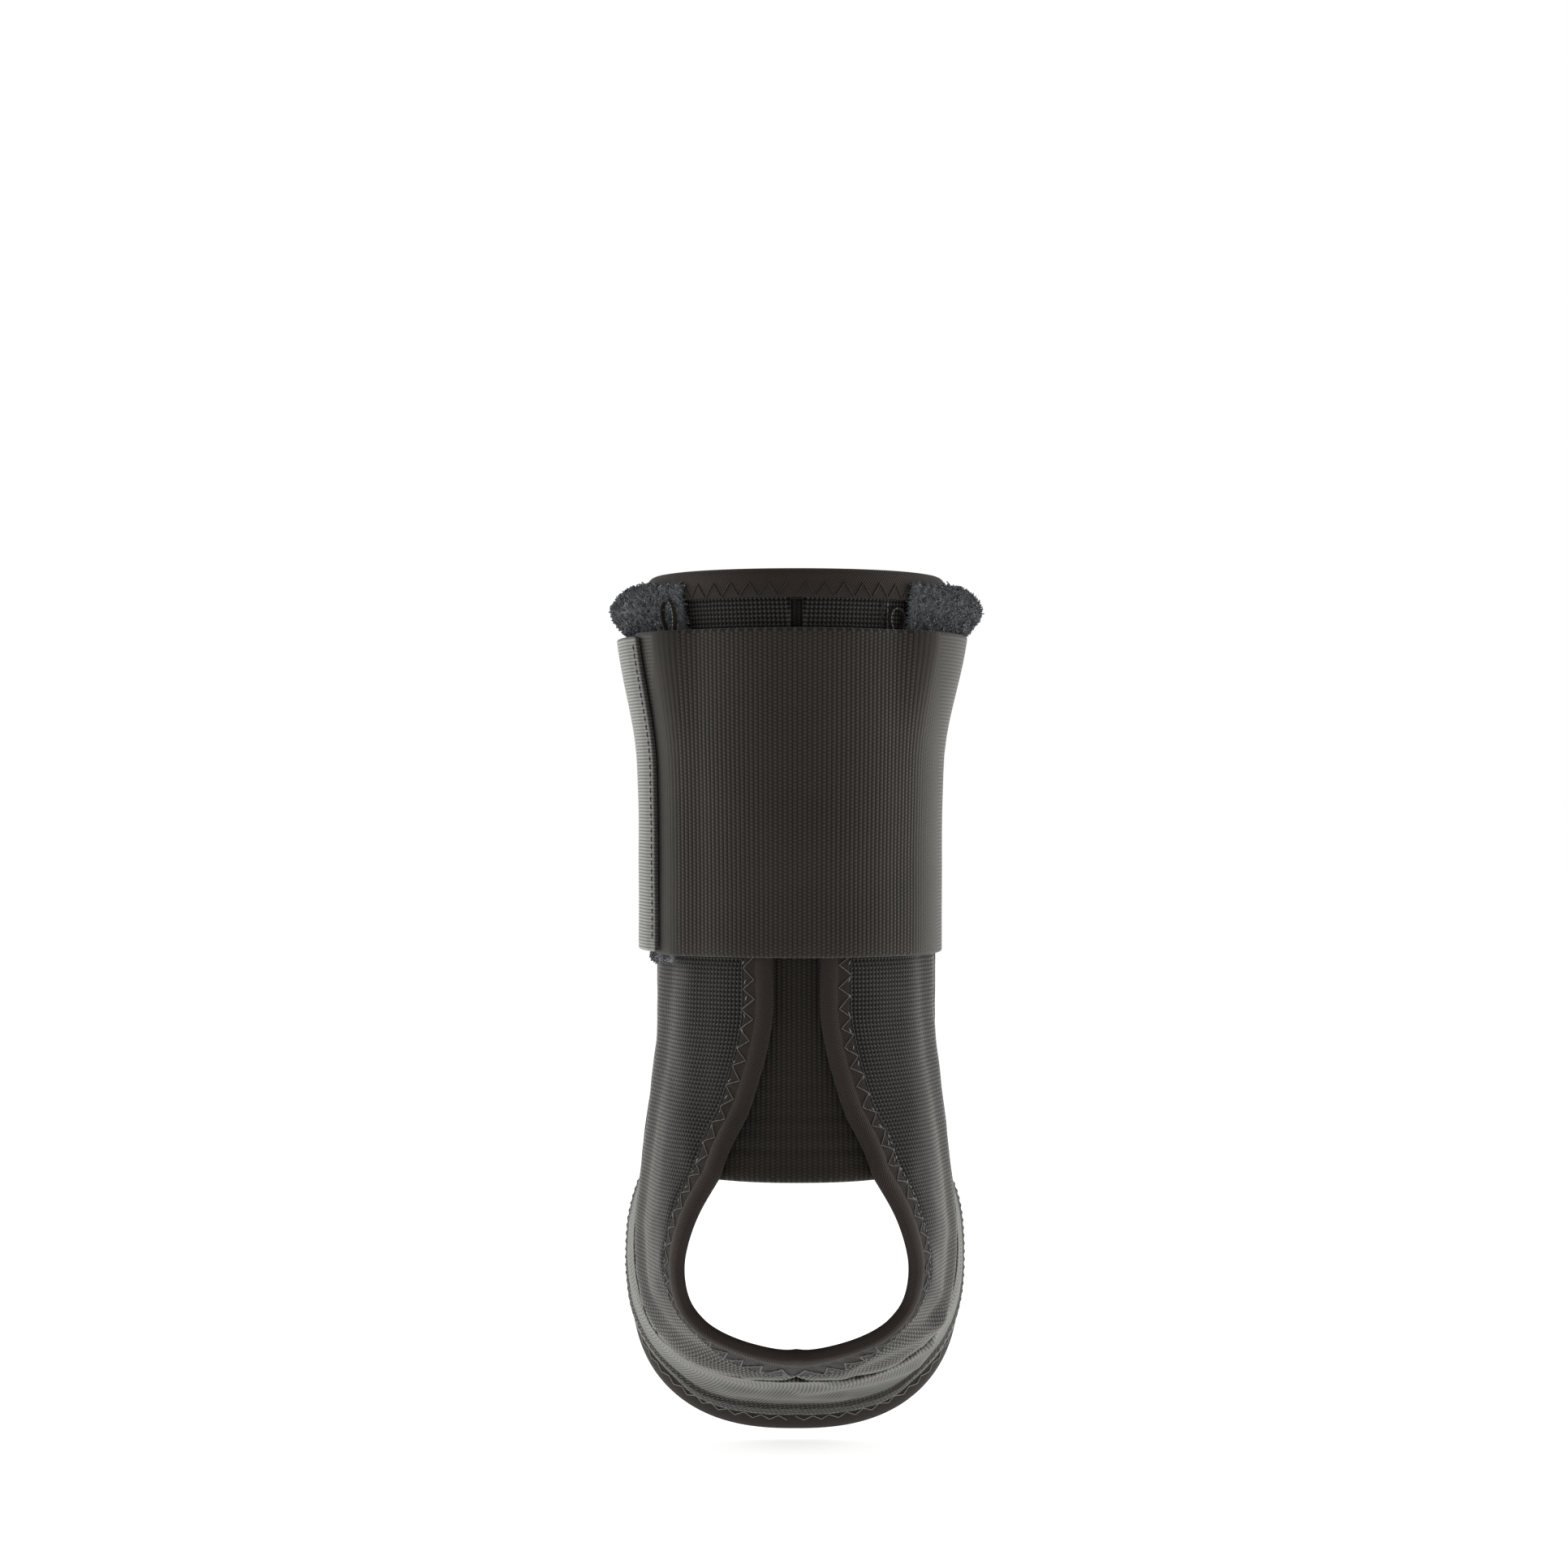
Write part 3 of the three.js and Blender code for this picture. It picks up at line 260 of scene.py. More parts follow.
def build_sections():
    half = TOP_DEPTH / 2
    rows = [(-half * rear, TOP_HEIGHT * height, half * front, TOP_HEIGHT * height,
             TOP_WIDTH / 2 * width, LEG_SQUARENESS) for height, width, rear, front in LEG_SECTIONS]
    rows.append((HEEL_REACH * ANKLE_SECTION[0], ANKLE_HEIGHT, INSTEP_REACH * ANKLE_SECTION[1],
                 ANKLE_HEIGHT, ANKLE_WIDTH / 2, LEG_SQUARENESS))
    for rear, drop, front, height, width, square in FOOT_SECTIONS:
        rows.append((HEEL_REACH * rear, -drop * (ANKLE_HEIGHT if drop < 0 else HEEL_DROP),
                     INSTEP_REACH * front, INSTEP_HEIGHT * height,
                     lerp(ANKLE_WIDTH, FOOT_WIDTH, width) / 2, square))
    for along, drop, front, front_drop, width in ARCH_SECTIONS:
        rows.append((ARCH_REACH * along, -ARCH_DROP * drop, INSTEP_REACH * front,
                     -ARCH_FRONT_DROP * front_drop, lerp(ANKLE_WIDTH, FOOT_WIDTH, width) / 2,
                     ARCH_SQUARENESS))
    rows = np.array(rows)
    steps = np.diff(rows, axis=0)
    lengths = (np.hypot(steps[:, 0], steps[:, 1]) + np.hypot(steps[:, 2], steps[:, 3])) / 2
    return rows, np.concatenate([[0], np.cumsum(lengths)])


SECTIONS, KNOTS = build_sections()
LAST_KNOT = KNOTS[-1]


def hollow(along, angle):
    """Point of the hollow: place along the section spline, angle round from the rear."""
    along, angle = np.broadcast_arrays(np.asarray(along, float), np.asarray(angle, float))
    rear_y, rear_z, front_y, front_z, half_width, square = np.moveaxis(spline(SECTIONS, KNOTS, along), -1, 0)
    half_depth = np.hypot(rear_y - front_y, rear_z - front_z) / 2
    cosine, sine = np.cos(angle), np.sin(angle)
    radius = ((np.abs(cosine) / half_depth) ** square + (np.abs(sine) / half_width) ** square) ** (-1 / square)
    reach = radius * cosine / (2 * half_depth)
    return np.stack([radius * sine, (rear_y + front_y) / 2 + reach * (rear_y - front_y),
                     (rear_z + front_z) / 2 + reach * (rear_z - front_z)], -1)


def hollow_ways(along, angle):
    step, turn = 0.05, 0.002
    along_way = (hollow(along + step, angle) - hollow(along - step, angle)) / (2 * step)
    angle_way = (hollow(along, angle + turn) - hollow(along, angle - turn)) / (2 * turn)
    return along_way, angle_way, unit(np.cross(along_way, angle_way))


def stand_off(along, angle, offset):
    return hollow(along, angle) + hollow_ways(along, angle)[2] * np.asarray(offset, float)[..., None]


def bisect(low, high, is_past, steps=26):
    low, high = np.array(low, float), np.array(high, float)
    for _ in range(steps):
        middle = (low + high) / 2
        past = is_past(middle)
        low, high = np.where(past, low, middle), np.where(past, middle, high)
    return (low + high) / 2


def along_at_height(height):
    height = np.asarray(height, float)
    return bisect(0 * height, 0 * height + LAST_KNOT, lambda s: hollow(s, 0)[..., 2] < height)


def angle_at_half(along, half, on_front=False):
    zero = 0 * (np.asarray(along, float) + half)
    if on_front:
        return math.pi - bisect(
            zero, zero + math.pi / 2, lambda a: hollow(along, math.pi - a)[..., 0] > half)
    return bisect(zero, zero + math.pi / 2, lambda a: hollow(along, a)[..., 0] > half)


def place_from_behind(half, height):
    """Along and angle of points seen from behind."""
    half, height = np.broadcast_arrays(np.asarray(half, float), np.asarray(height, float))
    along = bisect(0 * half, 0 * half + LAST_KNOT,
                   lambda s: hollow(s, angle_at_half(s, half))[..., 2] < height)
    return np.stack([along, angle_at_half(along, half)], -1)


def place_from_side(y, z):
    """Along and angle of a point seen from the side, on the positive half."""
    def is_below(s):
        rear_y, rear_z, front_y, front_z = spline(SECTIONS, KNOTS, s)[:4]
        return (front_y - rear_y) * (z - rear_z) - (front_z - rear_z) * (y - rear_y) > 0
    along = float(bisect(0.0, LAST_KNOT, is_below, 40))
    way = hollow(along, 0) - hollow(along, math.pi)
    angle = bisect(0.0, math.pi, lambda a: (
        way[1] * (hollow(along, a)[1] - y) + way[2] * (hollow(along, a)[2] - z) < 0), 40)
    return along, float(angle)


def places_through(rows, steps, bias=1.0):
    rows = np.asarray(rows, float)
    points = hollow(rows[:, 0], rows[:, 1])
    at = np.concatenate([[0], np.cumsum(np.linalg.norm(np.diff(points, axis=0), axis=1))])
    return spline(rows, at, at[-1] * (1 - (1 - np.arange(steps + 1) / steps) ** bias))


rear_rows = np.concatenate([
    [place_from_behind(HEM_WIDTH / 2 * half, lerp(HEM_HEIGHT, TOP_HEIGHT, up) - (0.001 if up == 1 else 0))
     for up, half in SLIT_ROWS],
    [place_from_behind(OPENING_WIDTH / 2 * half, lerp(HEM_HEIGHT, OPENING_BOTTOM, down))
     for down, half in OPENING_ROWS]])
slit_rows, opening_rows = rear_rows[:len(SLIT_ROWS)], rear_rows[len(SLIT_ROWS) - 1:]
hem_along, opening_bottom_along = slit_rows[-1, 0], opening_rows[-1, 0]
materials = {}


def soft_noise(points, size, seed):
    """Smooth unevenness between -1 and 1, from a few fixed waves."""
    waves = np.random.default_rng(seed)
    total = np.zeros(points.shape[:-1])
    for _ in range(NOISE_WAVES):
        way = unit(waves.normal(size=3))
        turns = points @ way * 2 * math.pi / (size * waves.uniform(*NOISE_SPREAD))
        total += np.sin(turns + waves.uniform(0, NOISE_SHIFT))
    return total / NOISE_SHARE


def uneven(points, rows):
    """Soft noises added up; each row holds rise, size and seed."""
    return sum(rise * soft_noise(points, size, seed) for rise, size, seed in rows)


def groove(distance, centre, width, depth):
    return depth * np.exp(-((distance - centre) / width) ** 2)


def fold_rise(points, folds, behind=True):
    """How far folds lift the cloth; behind keeps them on the side that faces the heel."""
    rise = np.zeros(points.shape[:-1])
    for x0, z0, x1, z1, width, height in folds:
        start, way = np.array([x0, z0]), np.array([x1 - x0, z1 - z0])
        flat = points[..., [0, 2]] - start
        share = np.clip(flat @ way / (way @ way), 0, 1)
        gap = np.linalg.norm(flat - share[..., None] * way, axis=-1)
        rise += height * np.exp(-(gap / width) ** 2)
    return rise * smooth_step(FOLDS_END, FOLDS_FULL, points[..., 1]) if behind else rise


def cumulative(points, axis):
    steps = np.linalg.norm(np.diff(points, axis=axis), axis=-1)
    start = np.zeros_like(np.take(steps, [0], axis=axis))
    return np.concatenate([start, np.cumsum(steps, axis=axis)], axis=axis)


def near_edges(count, share=0.03):
    """Rising values from 0 to 1, closer together near both ends."""
    even = np.linspace(0, 1, count)
    return even - share * np.sin(2 * math.pi * even)


class Cloth:
    """Outer and inner grids of one cloth piece, with its lengths down and across."""

    def __init__(self, outer, inner):
        self.outer, self.inner = outer, inner
        self.down = cumulative(outer, 0)
        self.across = cumulative(outer, 1)
        self.across -= self.across[:, self.across.shape[1] // 2][:, None]
        self.length = self.down.mean(1)
        self.width = self.across.mean(0) - self.across.mean(0)[0]

    def at(self, down, across, lift=0.0):
        """Points on the outer face and its normals, by mean distances down and across."""
        row = np.interp(down, self.length, np.arange(len(self.length)))
        column = np.interp(across, self.width, np.arange(len(self.width)))
        i, j = (np.clip(np.floor(place).astype(int), 0, count - 2) for place, count in
                ((row, len(self.length)), (column, len(self.width))))
        down_share, across_share = (row - i)[..., None], (column - j)[..., None]

        def between(grid):
            return lerp(lerp(grid[i, j], grid[i, j + 1], across_share),
                        lerp(grid[i + 1, j], grid[i + 1, j + 1], across_share), down_share)

        point, inside = between(self.outer), between(self.inner)
        corner, beside = self.outer[i, j], self.outer[i, j + 1]
        below, opposite = self.outer[i + 1, j], self.outer[i + 1, j + 1]
        normal = unit(np.cross(below + opposite - corner - beside, beside + opposite - corner - below))
        normal *= np.sign(np.sum(normal * (point - inside), -1, keepdims=True))
        return point + normal * lift, normal


def mesh_object(name, points, quads, quad_uvs, material):
    """Closed mesh of quads, turned outward, with its UVs in metres."""
    corners = points[quads]
    volume = np.einsum("ij,ij->i", corners[:, 0], np.cross(corners[:, 1], corners[:, 2])).sum()
    volume += np.einsum("ij,ij->i", corners[:, 0], np.cross(corners[:, 2], corners[:, 3])).sum()
    if volume < 0:
        quads, quad_uvs = quads[:, ::-1], quad_uvs[:, ::-1]
    mesh = bpy.data.meshes.new(name)
    mesh.vertices.add(len(points))
    mesh.vertices.foreach_set("co", (points * MM).astype(np.float32).ravel())
    mesh.loops.add(quads.size)
    mesh.loops.foreach_set("vertex_index", quads.astype(np.int32).ravel())
    mesh.polygons.add(len(quads))
    mesh.polygons.foreach_set("loop_start", np.arange(0, quads.size, 4, dtype=np.int32))
    mesh.update(calc_edges=True)
    uv = mesh.uv_layers.new(name="cloth")
    uv.data.foreach_set("uv", (quad_uvs * MM).astype(np.float32).ravel())
    mesh.shade_smooth()
    mesh.materials.append(material)
    obj = bpy.data.objects.new(name, mesh)
    bpy.context.collection.objects.link(obj)
    return obj


def cloth_object(name, cloth, material):
    """Outer and inner faces joined by a half-round rim."""
    outer, inner = cloth.outer, cloth.inner
    rows, columns = outer.shape[:2]
    count = rows * columns
    uv = np.stack([cloth.across, cloth.down], -1).reshape(-1, 2)
    ids = np.arange(count).reshape(rows, columns)
    grid = np.stack([ids[:-1, :-1], ids[:-1, 1:], ids[1:, 1:], ids[1:, :-1]], -1).reshape(-1, 4)
    edge = np.concatenate([ids[0, :-1], ids[:-1, -1], ids[-1, :0:-1], ids[:0:-1, 0]])
    flat_outer, flat_inner = outer.reshape(-1, 3), inner.reshape(-1, 3)
    away = np.zeros((rows, columns, 3))
    away[0] += unit(outer[0] - outer[1])
    away[-1] += unit(outer[-1] - outer[-2])
    away[:, 0] += unit(outer[:, 0] - outer[:, 1])
    away[:, -1] += unit(outer[:, -1] - outer[:, -2])
    away = unit(away.reshape(-1, 3)[edge])
    middle = (flat_outer[edge] + flat_inner[edge]) / 2
    arm = flat_outer[edge] - middle
    half = np.linalg.norm(arm, axis=1, keepdims=True)
    levels = [middle + arm * math.sin(t) + away * half * math.cos(t) for t in RIM_TURNS]
    points = np.concatenate([flat_outer, flat_inner, *levels])
    rim = [2 * count + k * len(edge) + np.arange(len(edge)) for k in range(len(RIM_TURNS))]
    chains = [edge, *rim, edge + count]
    quads, uvs = [grid, grid[:, ::-1] + count], [uv[grid], uv[grid[:, ::-1]]]
    after = np.roll(edge, -1)
    for first, second in zip(chains[:-1], chains[1:]):
        quads.append(np.stack([first, second, np.roll(second, -1), np.roll(first, -1)], -1))
        uvs.append(np.stack([uv[edge], uv[edge], uv[after], uv[after]], 1))
    return mesh_object(name, points, np.concatenate(quads), np.concatenate(uvs), material)


def band_object(name, rings, material, closed):
    """Swept band: each ring is a closed section, with its ends filled by fans of quads when open."""
    count, size = rings.shape[:2]
    down = cumulative(rings, 0).mean(1)
    round_it = np.concatenate([cumulative(rings, 1).mean(0), [0]])
    round_it[-1] = round_it[-2] + np.linalg.norm(rings[:, -1] - rings[:, 0], axis=-1).mean()
    total = down[-1] + np.linalg.norm(rings[-1] - rings[0], axis=-1).mean()
    ids = np.arange(count * size).reshape(count, size)
    span = count if closed else count - 1
    i, j = np.meshgrid(np.arange(span), np.arange(size), indexing="ij")
    after, other = (i + 1) % count, (j + 1) % size
    quads = np.stack([ids[i, j], ids[after, j], ids[after, other], ids[i, other]], -1).reshape(-1, 4)
    end = np.append(down, total)
    uvs = np.stack([
        np.stack([round_it[j], end[i]], -1), np.stack([round_it[j], end[i + 1]], -1),
        np.stack([round_it[j + 1], end[i + 1]], -1), np.stack([round_it[j + 1], end[i]], -1)], 2)
    uvs = uvs.reshape(-1, 4, 2)
    points = rings.reshape(-1, 3)
    if not closed:
        for ring, flip in ((0, False), (count - 1, True)):
            low, high = 0, size - 1
            while high - low > 1:
                cap = [ids[ring, low], ids[ring, low + 1], ids[ring, high - 1], ids[ring, high]]
                if high - low == 2:
                    points = np.concatenate([points, [(points[cap[0]] + points[cap[3]]) / 2]])
                    cap = [cap[0], cap[1], cap[3], len(points) - 1]
                quads = np.concatenate([quads, [cap[::-1] if flip else cap]])
                uvs = np.concatenate([uvs, [[(round_it[low], end[ring])] * 4]])
                low, high = low + 1, high - 1
    return mesh_object(name, points, quads, uvs, material)


def band_rings(places, outline, closed, side):
    """Rings of a band swept along an edge; outline points are across and offset."""
    along, angle = places[:, 0], places[:, 1]
    points = hollow(along, angle)
    if closed:
        tangent = unit(np.roll(points, -1, 0) - np.roll(points, 1, 0))
    else:
        tangent = unit(np.gradient(points, axis=0))
    across_way = unit(np.cross(tangent, hollow_ways(along, angle)[2])) * side
    outline = np.asarray(outline, float)
    across, offset = outline[..., 0], outline[..., 1]
    if outline.ndim == 2:
        across, offset = (np.broadcast_to(x, (len(points), len(x))) for x in (across, offset))
    along = np.repeat(along[:, None], across.shape[1], 1)
    angle = np.repeat(angle[:, None], across.shape[1], 1)
    step = across_way[:, None] * across[..., None] / WALK_STEPS
    for _ in range(WALK_STEPS):
        along_way, angle_way = hollow_ways(along, angle)[:2]
        along_square, shared, angle_square = ((x * y).sum(-1) for x, y in (
            (along_way, along_way), (along_way, angle_way), (angle_way, angle_way)))
        on_along, on_angle = (along_way * step).sum(-1), (angle_way * step).sum(-1)
        determinant = along_square * angle_square - shared * shared
        along, angle = (along + (on_along * angle_square - on_angle * shared) / determinant,
                        angle + (on_angle * along_square - on_along * shared) / determinant)
    return stand_off(along, angle, offset)


def band_top(rings, first, last, closed):
    """The outer face of a band as a cloth grid, for its stitches."""
    outer = rings[:, first:last]
    if closed:
        outer = np.concatenate([outer, outer[:1]])
    middle = rings.mean(1)
    if closed:
        middle = np.concatenate([middle, middle[:1]])
    return Cloth(outer, lerp(outer, middle[:, None], 0.5))


def sheet_cloth(grid, place, span, relief, closeness=0.03):
    """Cloth over a grid: place and span take shares across and down."""
    rows, columns = grid
    u, v = np.meshgrid(near_edges(columns + 1, closeness), near_edges(rows + 1, closeness))
    along, angle = place(u, v)
    inner_offset, outer_offset = span(u, v, along, angle)
    outer, inner = stand_off(along, angle, outer_offset), stand_off(along, angle, inner_offset)
    normal = unit(outer - inner)
    rise = relief(outer, u, v)[..., None]
    return Cloth(outer + normal * rise, inner + normal * rise * INNER_RISE_SHARE)


class Nodes:
    """Short names for making a node tree."""

    def __init__(self, tree):
        self.tree = tree

    def add(self, kind, inputs=(), **settings):
        node = self.tree.nodes.new(kind)
        for key, value in settings.items():
            setattr(node, key, value)
        pairs = inputs.items() if isinstance(inputs, dict) else enumerate(inputs)
        for key, value in pairs:
            if value is None:
                continue
            if isinstance(value, bpy.types.NodeSocket):
                self.tree.links.new(value, node.inputs[key])
            else:
                node.inputs[key].default_value = value
        return node

    def math(self, operation, *values):
        return self.add("ShaderNodeMath", values, operation=operation).outputs[0]

    def mix(self, share, first, second):
        node = self.add("ShaderNodeMix", {"Factor": share}, data_type="RGBA")
        for socket, value in ((node.inputs[6], first), (node.inputs[7], second)):
            if isinstance(value, bpy.types.NodeSocket):
                self.tree.links.new(value, socket)
            else:
                socket.default_value = value
        return node.outputs[2]


def node_group(name, inputs, outputs, kind="ShaderNodeTree"):
    """A node group with named sockets; inputs are name, socket type and default."""
    tree = bpy.data.node_groups.new(name, kind)
    for label, socket, value in inputs:
        made = tree.interface.new_socket(label, in_out="INPUT", socket_type=socket)
        if value is not None:
            made.default_value = value
    for label, socket in outputs:
        tree.interface.new_socket(label, in_out="OUTPUT", socket_type=socket)
    nodes = Nodes(tree)
    return tree, nodes, nodes.add("NodeGroupInput").outputs, nodes.add("NodeGroupOutput").inputs


FLOAT, VECTOR, COLOUR = "NodeSocketFloat", "NodeSocketVector", "NodeSocketColor"


def basket_weave_group():
    """Threads that cross over and under, on the bias; also gives which thread lies on top."""
    tree, n, given, result = node_group(
        "basket_weave", [("Coordinates", VECTOR, None), ("Pitch", FLOAT, 0.001), ("Turn", FLOAT, 0.785),
                         ("Wander", FLOAT, 0.25)],
        [("Height", FLOAT), ("Thread", FLOAT)])
    turned = n.add("ShaderNodeVectorRotate", {"Vector": given["Coordinates"], "Angle": given["Turn"]},
                   rotation_type="Z_AXIS").outputs[0]
    wobble = n.add("ShaderNodeTexNoise",
                   {"Vector": given["Coordinates"], "Scale": WANDER_SCALE, "Detail": 1.0})
    wobble = n.add("ShaderNodeVectorMath", [wobble.outputs["Color"], (0.5, 0.5, 0.5)], operation="SUBTRACT")
    scaled = n.add("ShaderNodeVectorMath", {0: turned}, operation="SCALE")
    tree.links.new(n.math("DIVIDE", 1.0, given["Pitch"]), scaled.inputs["Scale"])
    moved = n.add("ShaderNodeVectorMath", {0: wobble.outputs[0]}, operation="SCALE")
    tree.links.new(given["Wander"], moved.inputs["Scale"])
    place = n.add("ShaderNodeVectorMath", [scaled.outputs[0], moved.outputs[0]], operation="ADD").outputs[0]
    split = n.add("ShaderNodeSeparateXYZ", [place]).outputs
    x, y = split[0], split[1]
    heights = []
    for across, down, shift in ((x, y, 0.0), (y, x, 1.0)):
        lane = n.math("FLOOR", across)
        profile = n.math("SINE", n.math("MULTIPLY", n.math("FRACT", across), math.pi))
        phase = n.math("MULTIPLY", n.math("ADD", n.math("ADD", down, lane), shift), math.pi)
        over = n.math("MULTIPLY_ADD", n.math("SINE", phase), 0.5, 0.5)
        heights.append(n.math("MULTIPLY", n.math("POWER", profile, THREAD_ROUNDNESS), over))
    tree.links.new(n.math("MAXIMUM", *heights), result["Height"])
    lead = n.math("MULTIPLY_ADD", n.math("SUBTRACT", heights[0], heights[1]), 0.5, 0.5)
    tree.links.new(n.math("POWER", lead, 2.0), result["Thread"])
    return tree


def ribs_group():
    """Straight ribs across one direction, with fine knots along each rib; ribs flatten past a side."""
    tree, n, given, result = node_group(
        "knitted_ribs", [("Coordinates", VECTOR, None), ("Pitch", FLOAT, 0.0013), ("Knot", FLOAT, 0.0007),
                         ("Turn", FLOAT, 0.0), ("Knot Share", FLOAT, 0.4), ("Side Start", FLOAT, 1.0)],
        [("Height", FLOAT)])
    sideways = n.add("ShaderNodeSeparateXYZ", [n.add("ShaderNodeTexCoord").outputs["Object"]]).outputs[0]
    beyond = n.math("SUBTRACT", n.math("ABSOLUTE", sideways), given["Side Start"])
    beyond = n.math("DIVIDE", beyond, SIDE_BLEND)
    beyond = n.add("ShaderNodeMath", [beyond, 0.0], operation="ADD", use_clamp=True).outputs[0]
    front = n.math("SUBTRACT", 1.0, beyond)
    turned = n.add("ShaderNodeVectorRotate", {"Vector": given["Coordinates"], "Angle": given["Turn"]},
                   rotation_type="Z_AXIS").outputs[0]
    split = n.add("ShaderNodeSeparateXYZ", [turned]).outputs
    across = n.math("DIVIDE", split[0], given["Pitch"])
    wave = n.math("ABSOLUTE", n.math("SINE", n.math("MULTIPLY", across, math.pi)))
    flat = n.math("MULTIPLY", n.math("SUBTRACT", 1.0, front), FLAT_RIB)
    rib = n.math("ADD", n.math("MULTIPLY", wave, front), flat)
    along = n.math("DIVIDE", split[1], given["Knot"])
    stagger = n.math("MULTIPLY", n.math("MULTIPLY", n.math("FLOOR", across), 0.5), front)
    knot = n.math("ABSOLUTE", n.math("SINE", n.math("MULTIPLY", n.math("ADD", along, stagger), math.pi)))
    mixed = n.math("MULTIPLY_ADD", n.math("MULTIPLY", knot, rib), given["Knot Share"],
                   n.math("MULTIPLY", rib, n.math("SUBTRACT", 1.0, given["Knot Share"])))
    tree.links.new(mixed, result["Height"])
    return tree


def tone_and_painted_bounce_group():
    """Slow changes of tone and fine speckle over a cloth, painted glints where the Detail input is high, and a
    patchy mask of painted bounce light that grows towards the sole.
    """
    tree, n, given, result = node_group(
        "cloth_tone", [("Coordinates", VECTOR, None), ("Dark", COLOUR, None), ("Light", COLOUR, None),
                       ("Detail", FLOAT, 0.5), ("Contrast", FLOAT, TONE_CONTRAST)],
        [("Colour", COLOUR), ("Fuzz", FLOAT), ("Painted Bounce", FLOAT)])
    slow = n.add("ShaderNodeTexNoise", {"Vector": given["Coordinates"], "Scale": SLOW_SCALE, "Detail": 2.0})
    fast = n.add("ShaderNodeTexNoise", {"Vector": given["Coordinates"], "Scale": FAST_SCALE, "Detail": 2.0})
    # Painted glints and shade: the Detail input, the height of the threads or ribs, moves the colour to the
    # lighter end on their tops and the darker end in the grooves
    share = n.math("MULTIPLY_ADD", n.math("SUBTRACT", slow.outputs["Fac"], 0.5), given["Contrast"],
                   given["Detail"])
    share = n.add("ShaderNodeMath", [share], operation="ADD", use_clamp=True)
    speckle = n.math("MULTIPLY", n.math("SUBTRACT", fast.outputs["Fac"], 0.5), SPECKLE)
    tree.links.new(speckle, share.inputs[1])
    tree.links.new(n.mix(share.outputs[0], given["Dark"], given["Light"]), result["Colour"])
    tree.links.new(fast.outputs["Fac"], result["Fuzz"])
    # Painted bounce light: a patchy mask that grows below a height, so the cloth turns paler towards the sole
    height = n.add("ShaderNodeSeparateXYZ", [given["Coordinates"]]).outputs[2]
    below = n.math("DIVIDE", n.math("SUBTRACT", PAINTED_BOUNCE_HEIGHT, height), PAINTED_BOUNCE_RUN)
    patches = n.math("MULTIPLY", n.math("SUBTRACT", slow.outputs["Fac"], 0.5), PAINTED_BOUNCE_PATCHES)
    painted_bounce = n.add("ShaderNodeMath", [below, patches], operation="ADD", use_clamp=True).outputs[0]
    tree.links.new(painted_bounce, result["Painted Bounce"])


def dim(colour, share):
    return tuple(share * c for c in colour)


def empty_material(name):
    material = bpy.data.materials.new(name)
    material.use_nodes = True
    material.node_tree.nodes.clear()
    return material, Nodes(material.node_tree)


def fabric_material(name, dark, light, pattern, settings, bump, roughness, sheen, painted_sheen, power=2.2,
                    detail="Height", specular=0.2, painted_bounce=0.0):
    """Cloth whose colour and relief follow one of the pattern groups, with a painted sheen mixed into the
    colour: paler where seen edge-on, most on the threads that lie on top.
    """
    material, n = empty_material(name)
    tree = material.node_tree
    uv = n.add("ShaderNodeUVMap", uv_map="cloth").outputs[0]
    weave = n.add("ShaderNodeGroup", node_tree=pattern)
    tree.links.new(uv, weave.inputs["Coordinates"])
    for key, value in settings.items():
        weave.inputs[key].default_value = value
    solid = n.add("ShaderNodeTexCoord").outputs["Object"]
    tone = n.add("ShaderNodeGroup", node_tree=bpy.data.node_groups["cloth_tone"])
    tree.links.new(solid, tone.inputs["Coordinates"])
    tree.links.new(weave.outputs[detail], tone.inputs["Detail"])
    tone.inputs["Dark"].default_value = (*dark, 1)
    tone.inputs["Light"].default_value = (*light, 1)
    height = n.math("MULTIPLY_ADD", tone.outputs["Fuzz"], FUZZ_SHARE, weave.outputs["Height"])
    bumped = n.add("ShaderNodeBump", {"Strength": 1.0, "Distance": bump, "Height": height})
    # Painted sheen: the base colour turns towards a paler grey where the cloth is seen edge-on, more on the
    # threads on top
    sheen_mask = n.math("POWER", n.add("ShaderNodeLayerWeight", {"Blend": 0.5}).outputs["Facing"], power)
    sheen_mask = n.math("ADD", sheen_mask, n.math("MULTIPLY", tone.outputs["Painted Bounce"], painted_bounce))
    painted_sheen_share = n.math("MULTIPLY", sheen_mask, n.math("MULTIPLY_ADD", weave.outputs[detail], PAINTED_SHEEN_GAIN, PAINTED_SHEEN_BASE))
    shader = n.add("ShaderNodeBsdfPrincipled", {
        "Base Color": n.mix(painted_sheen_share, tone.outputs["Colour"], (*painted_sheen, 1)), "Roughness": roughness,
        "Sheen Weight": sheen, "Sheen Roughness": SHEEN_ROUGHNESS,
        "Specular IOR Level": specular, "Normal": bumped.outputs[0]})
    n.add("ShaderNodeOutputMaterial", {"Surface": shader.outputs[0]})
    return material


def plain_material(name, colour, roughness, sheen=0.3, scale=1800.0, spread=0.4):
    """Thread or pile: one colour with speckle; on the pile the wider speckle is partly the fibres' own tone
    and partly painted highlights on the fibres.
    """
    material, n = empty_material(name)
    solid = n.add("ShaderNodeTexCoord").outputs["Object"]
    noise = n.add("ShaderNodeTexNoise", {"Vector": solid, "Scale": scale, "Detail": 2.0})
    dark, light = dim(colour, 1 - spread), dim(colour, 1 + spread)
    bumped = n.add("ShaderNodeBump",
                   {"Strength": 1.0, "Distance": THREAD_BUMP, "Height": noise.outputs["Fac"]})
    shader = n.add("ShaderNodeBsdfPrincipled", {
        "Base Color": n.mix(noise.outputs["Fac"], (*dark, 1), (*light, 1)), "Roughness": roughness,
        "Sheen Weight": sheen, "Sheen Roughness": THREAD_SHEEN_ROUGHNESS, "Normal": bumped.outputs[0]})
    n.add("ShaderNodeOutputMaterial", {"Surface": shader.outputs[0]})
    return material


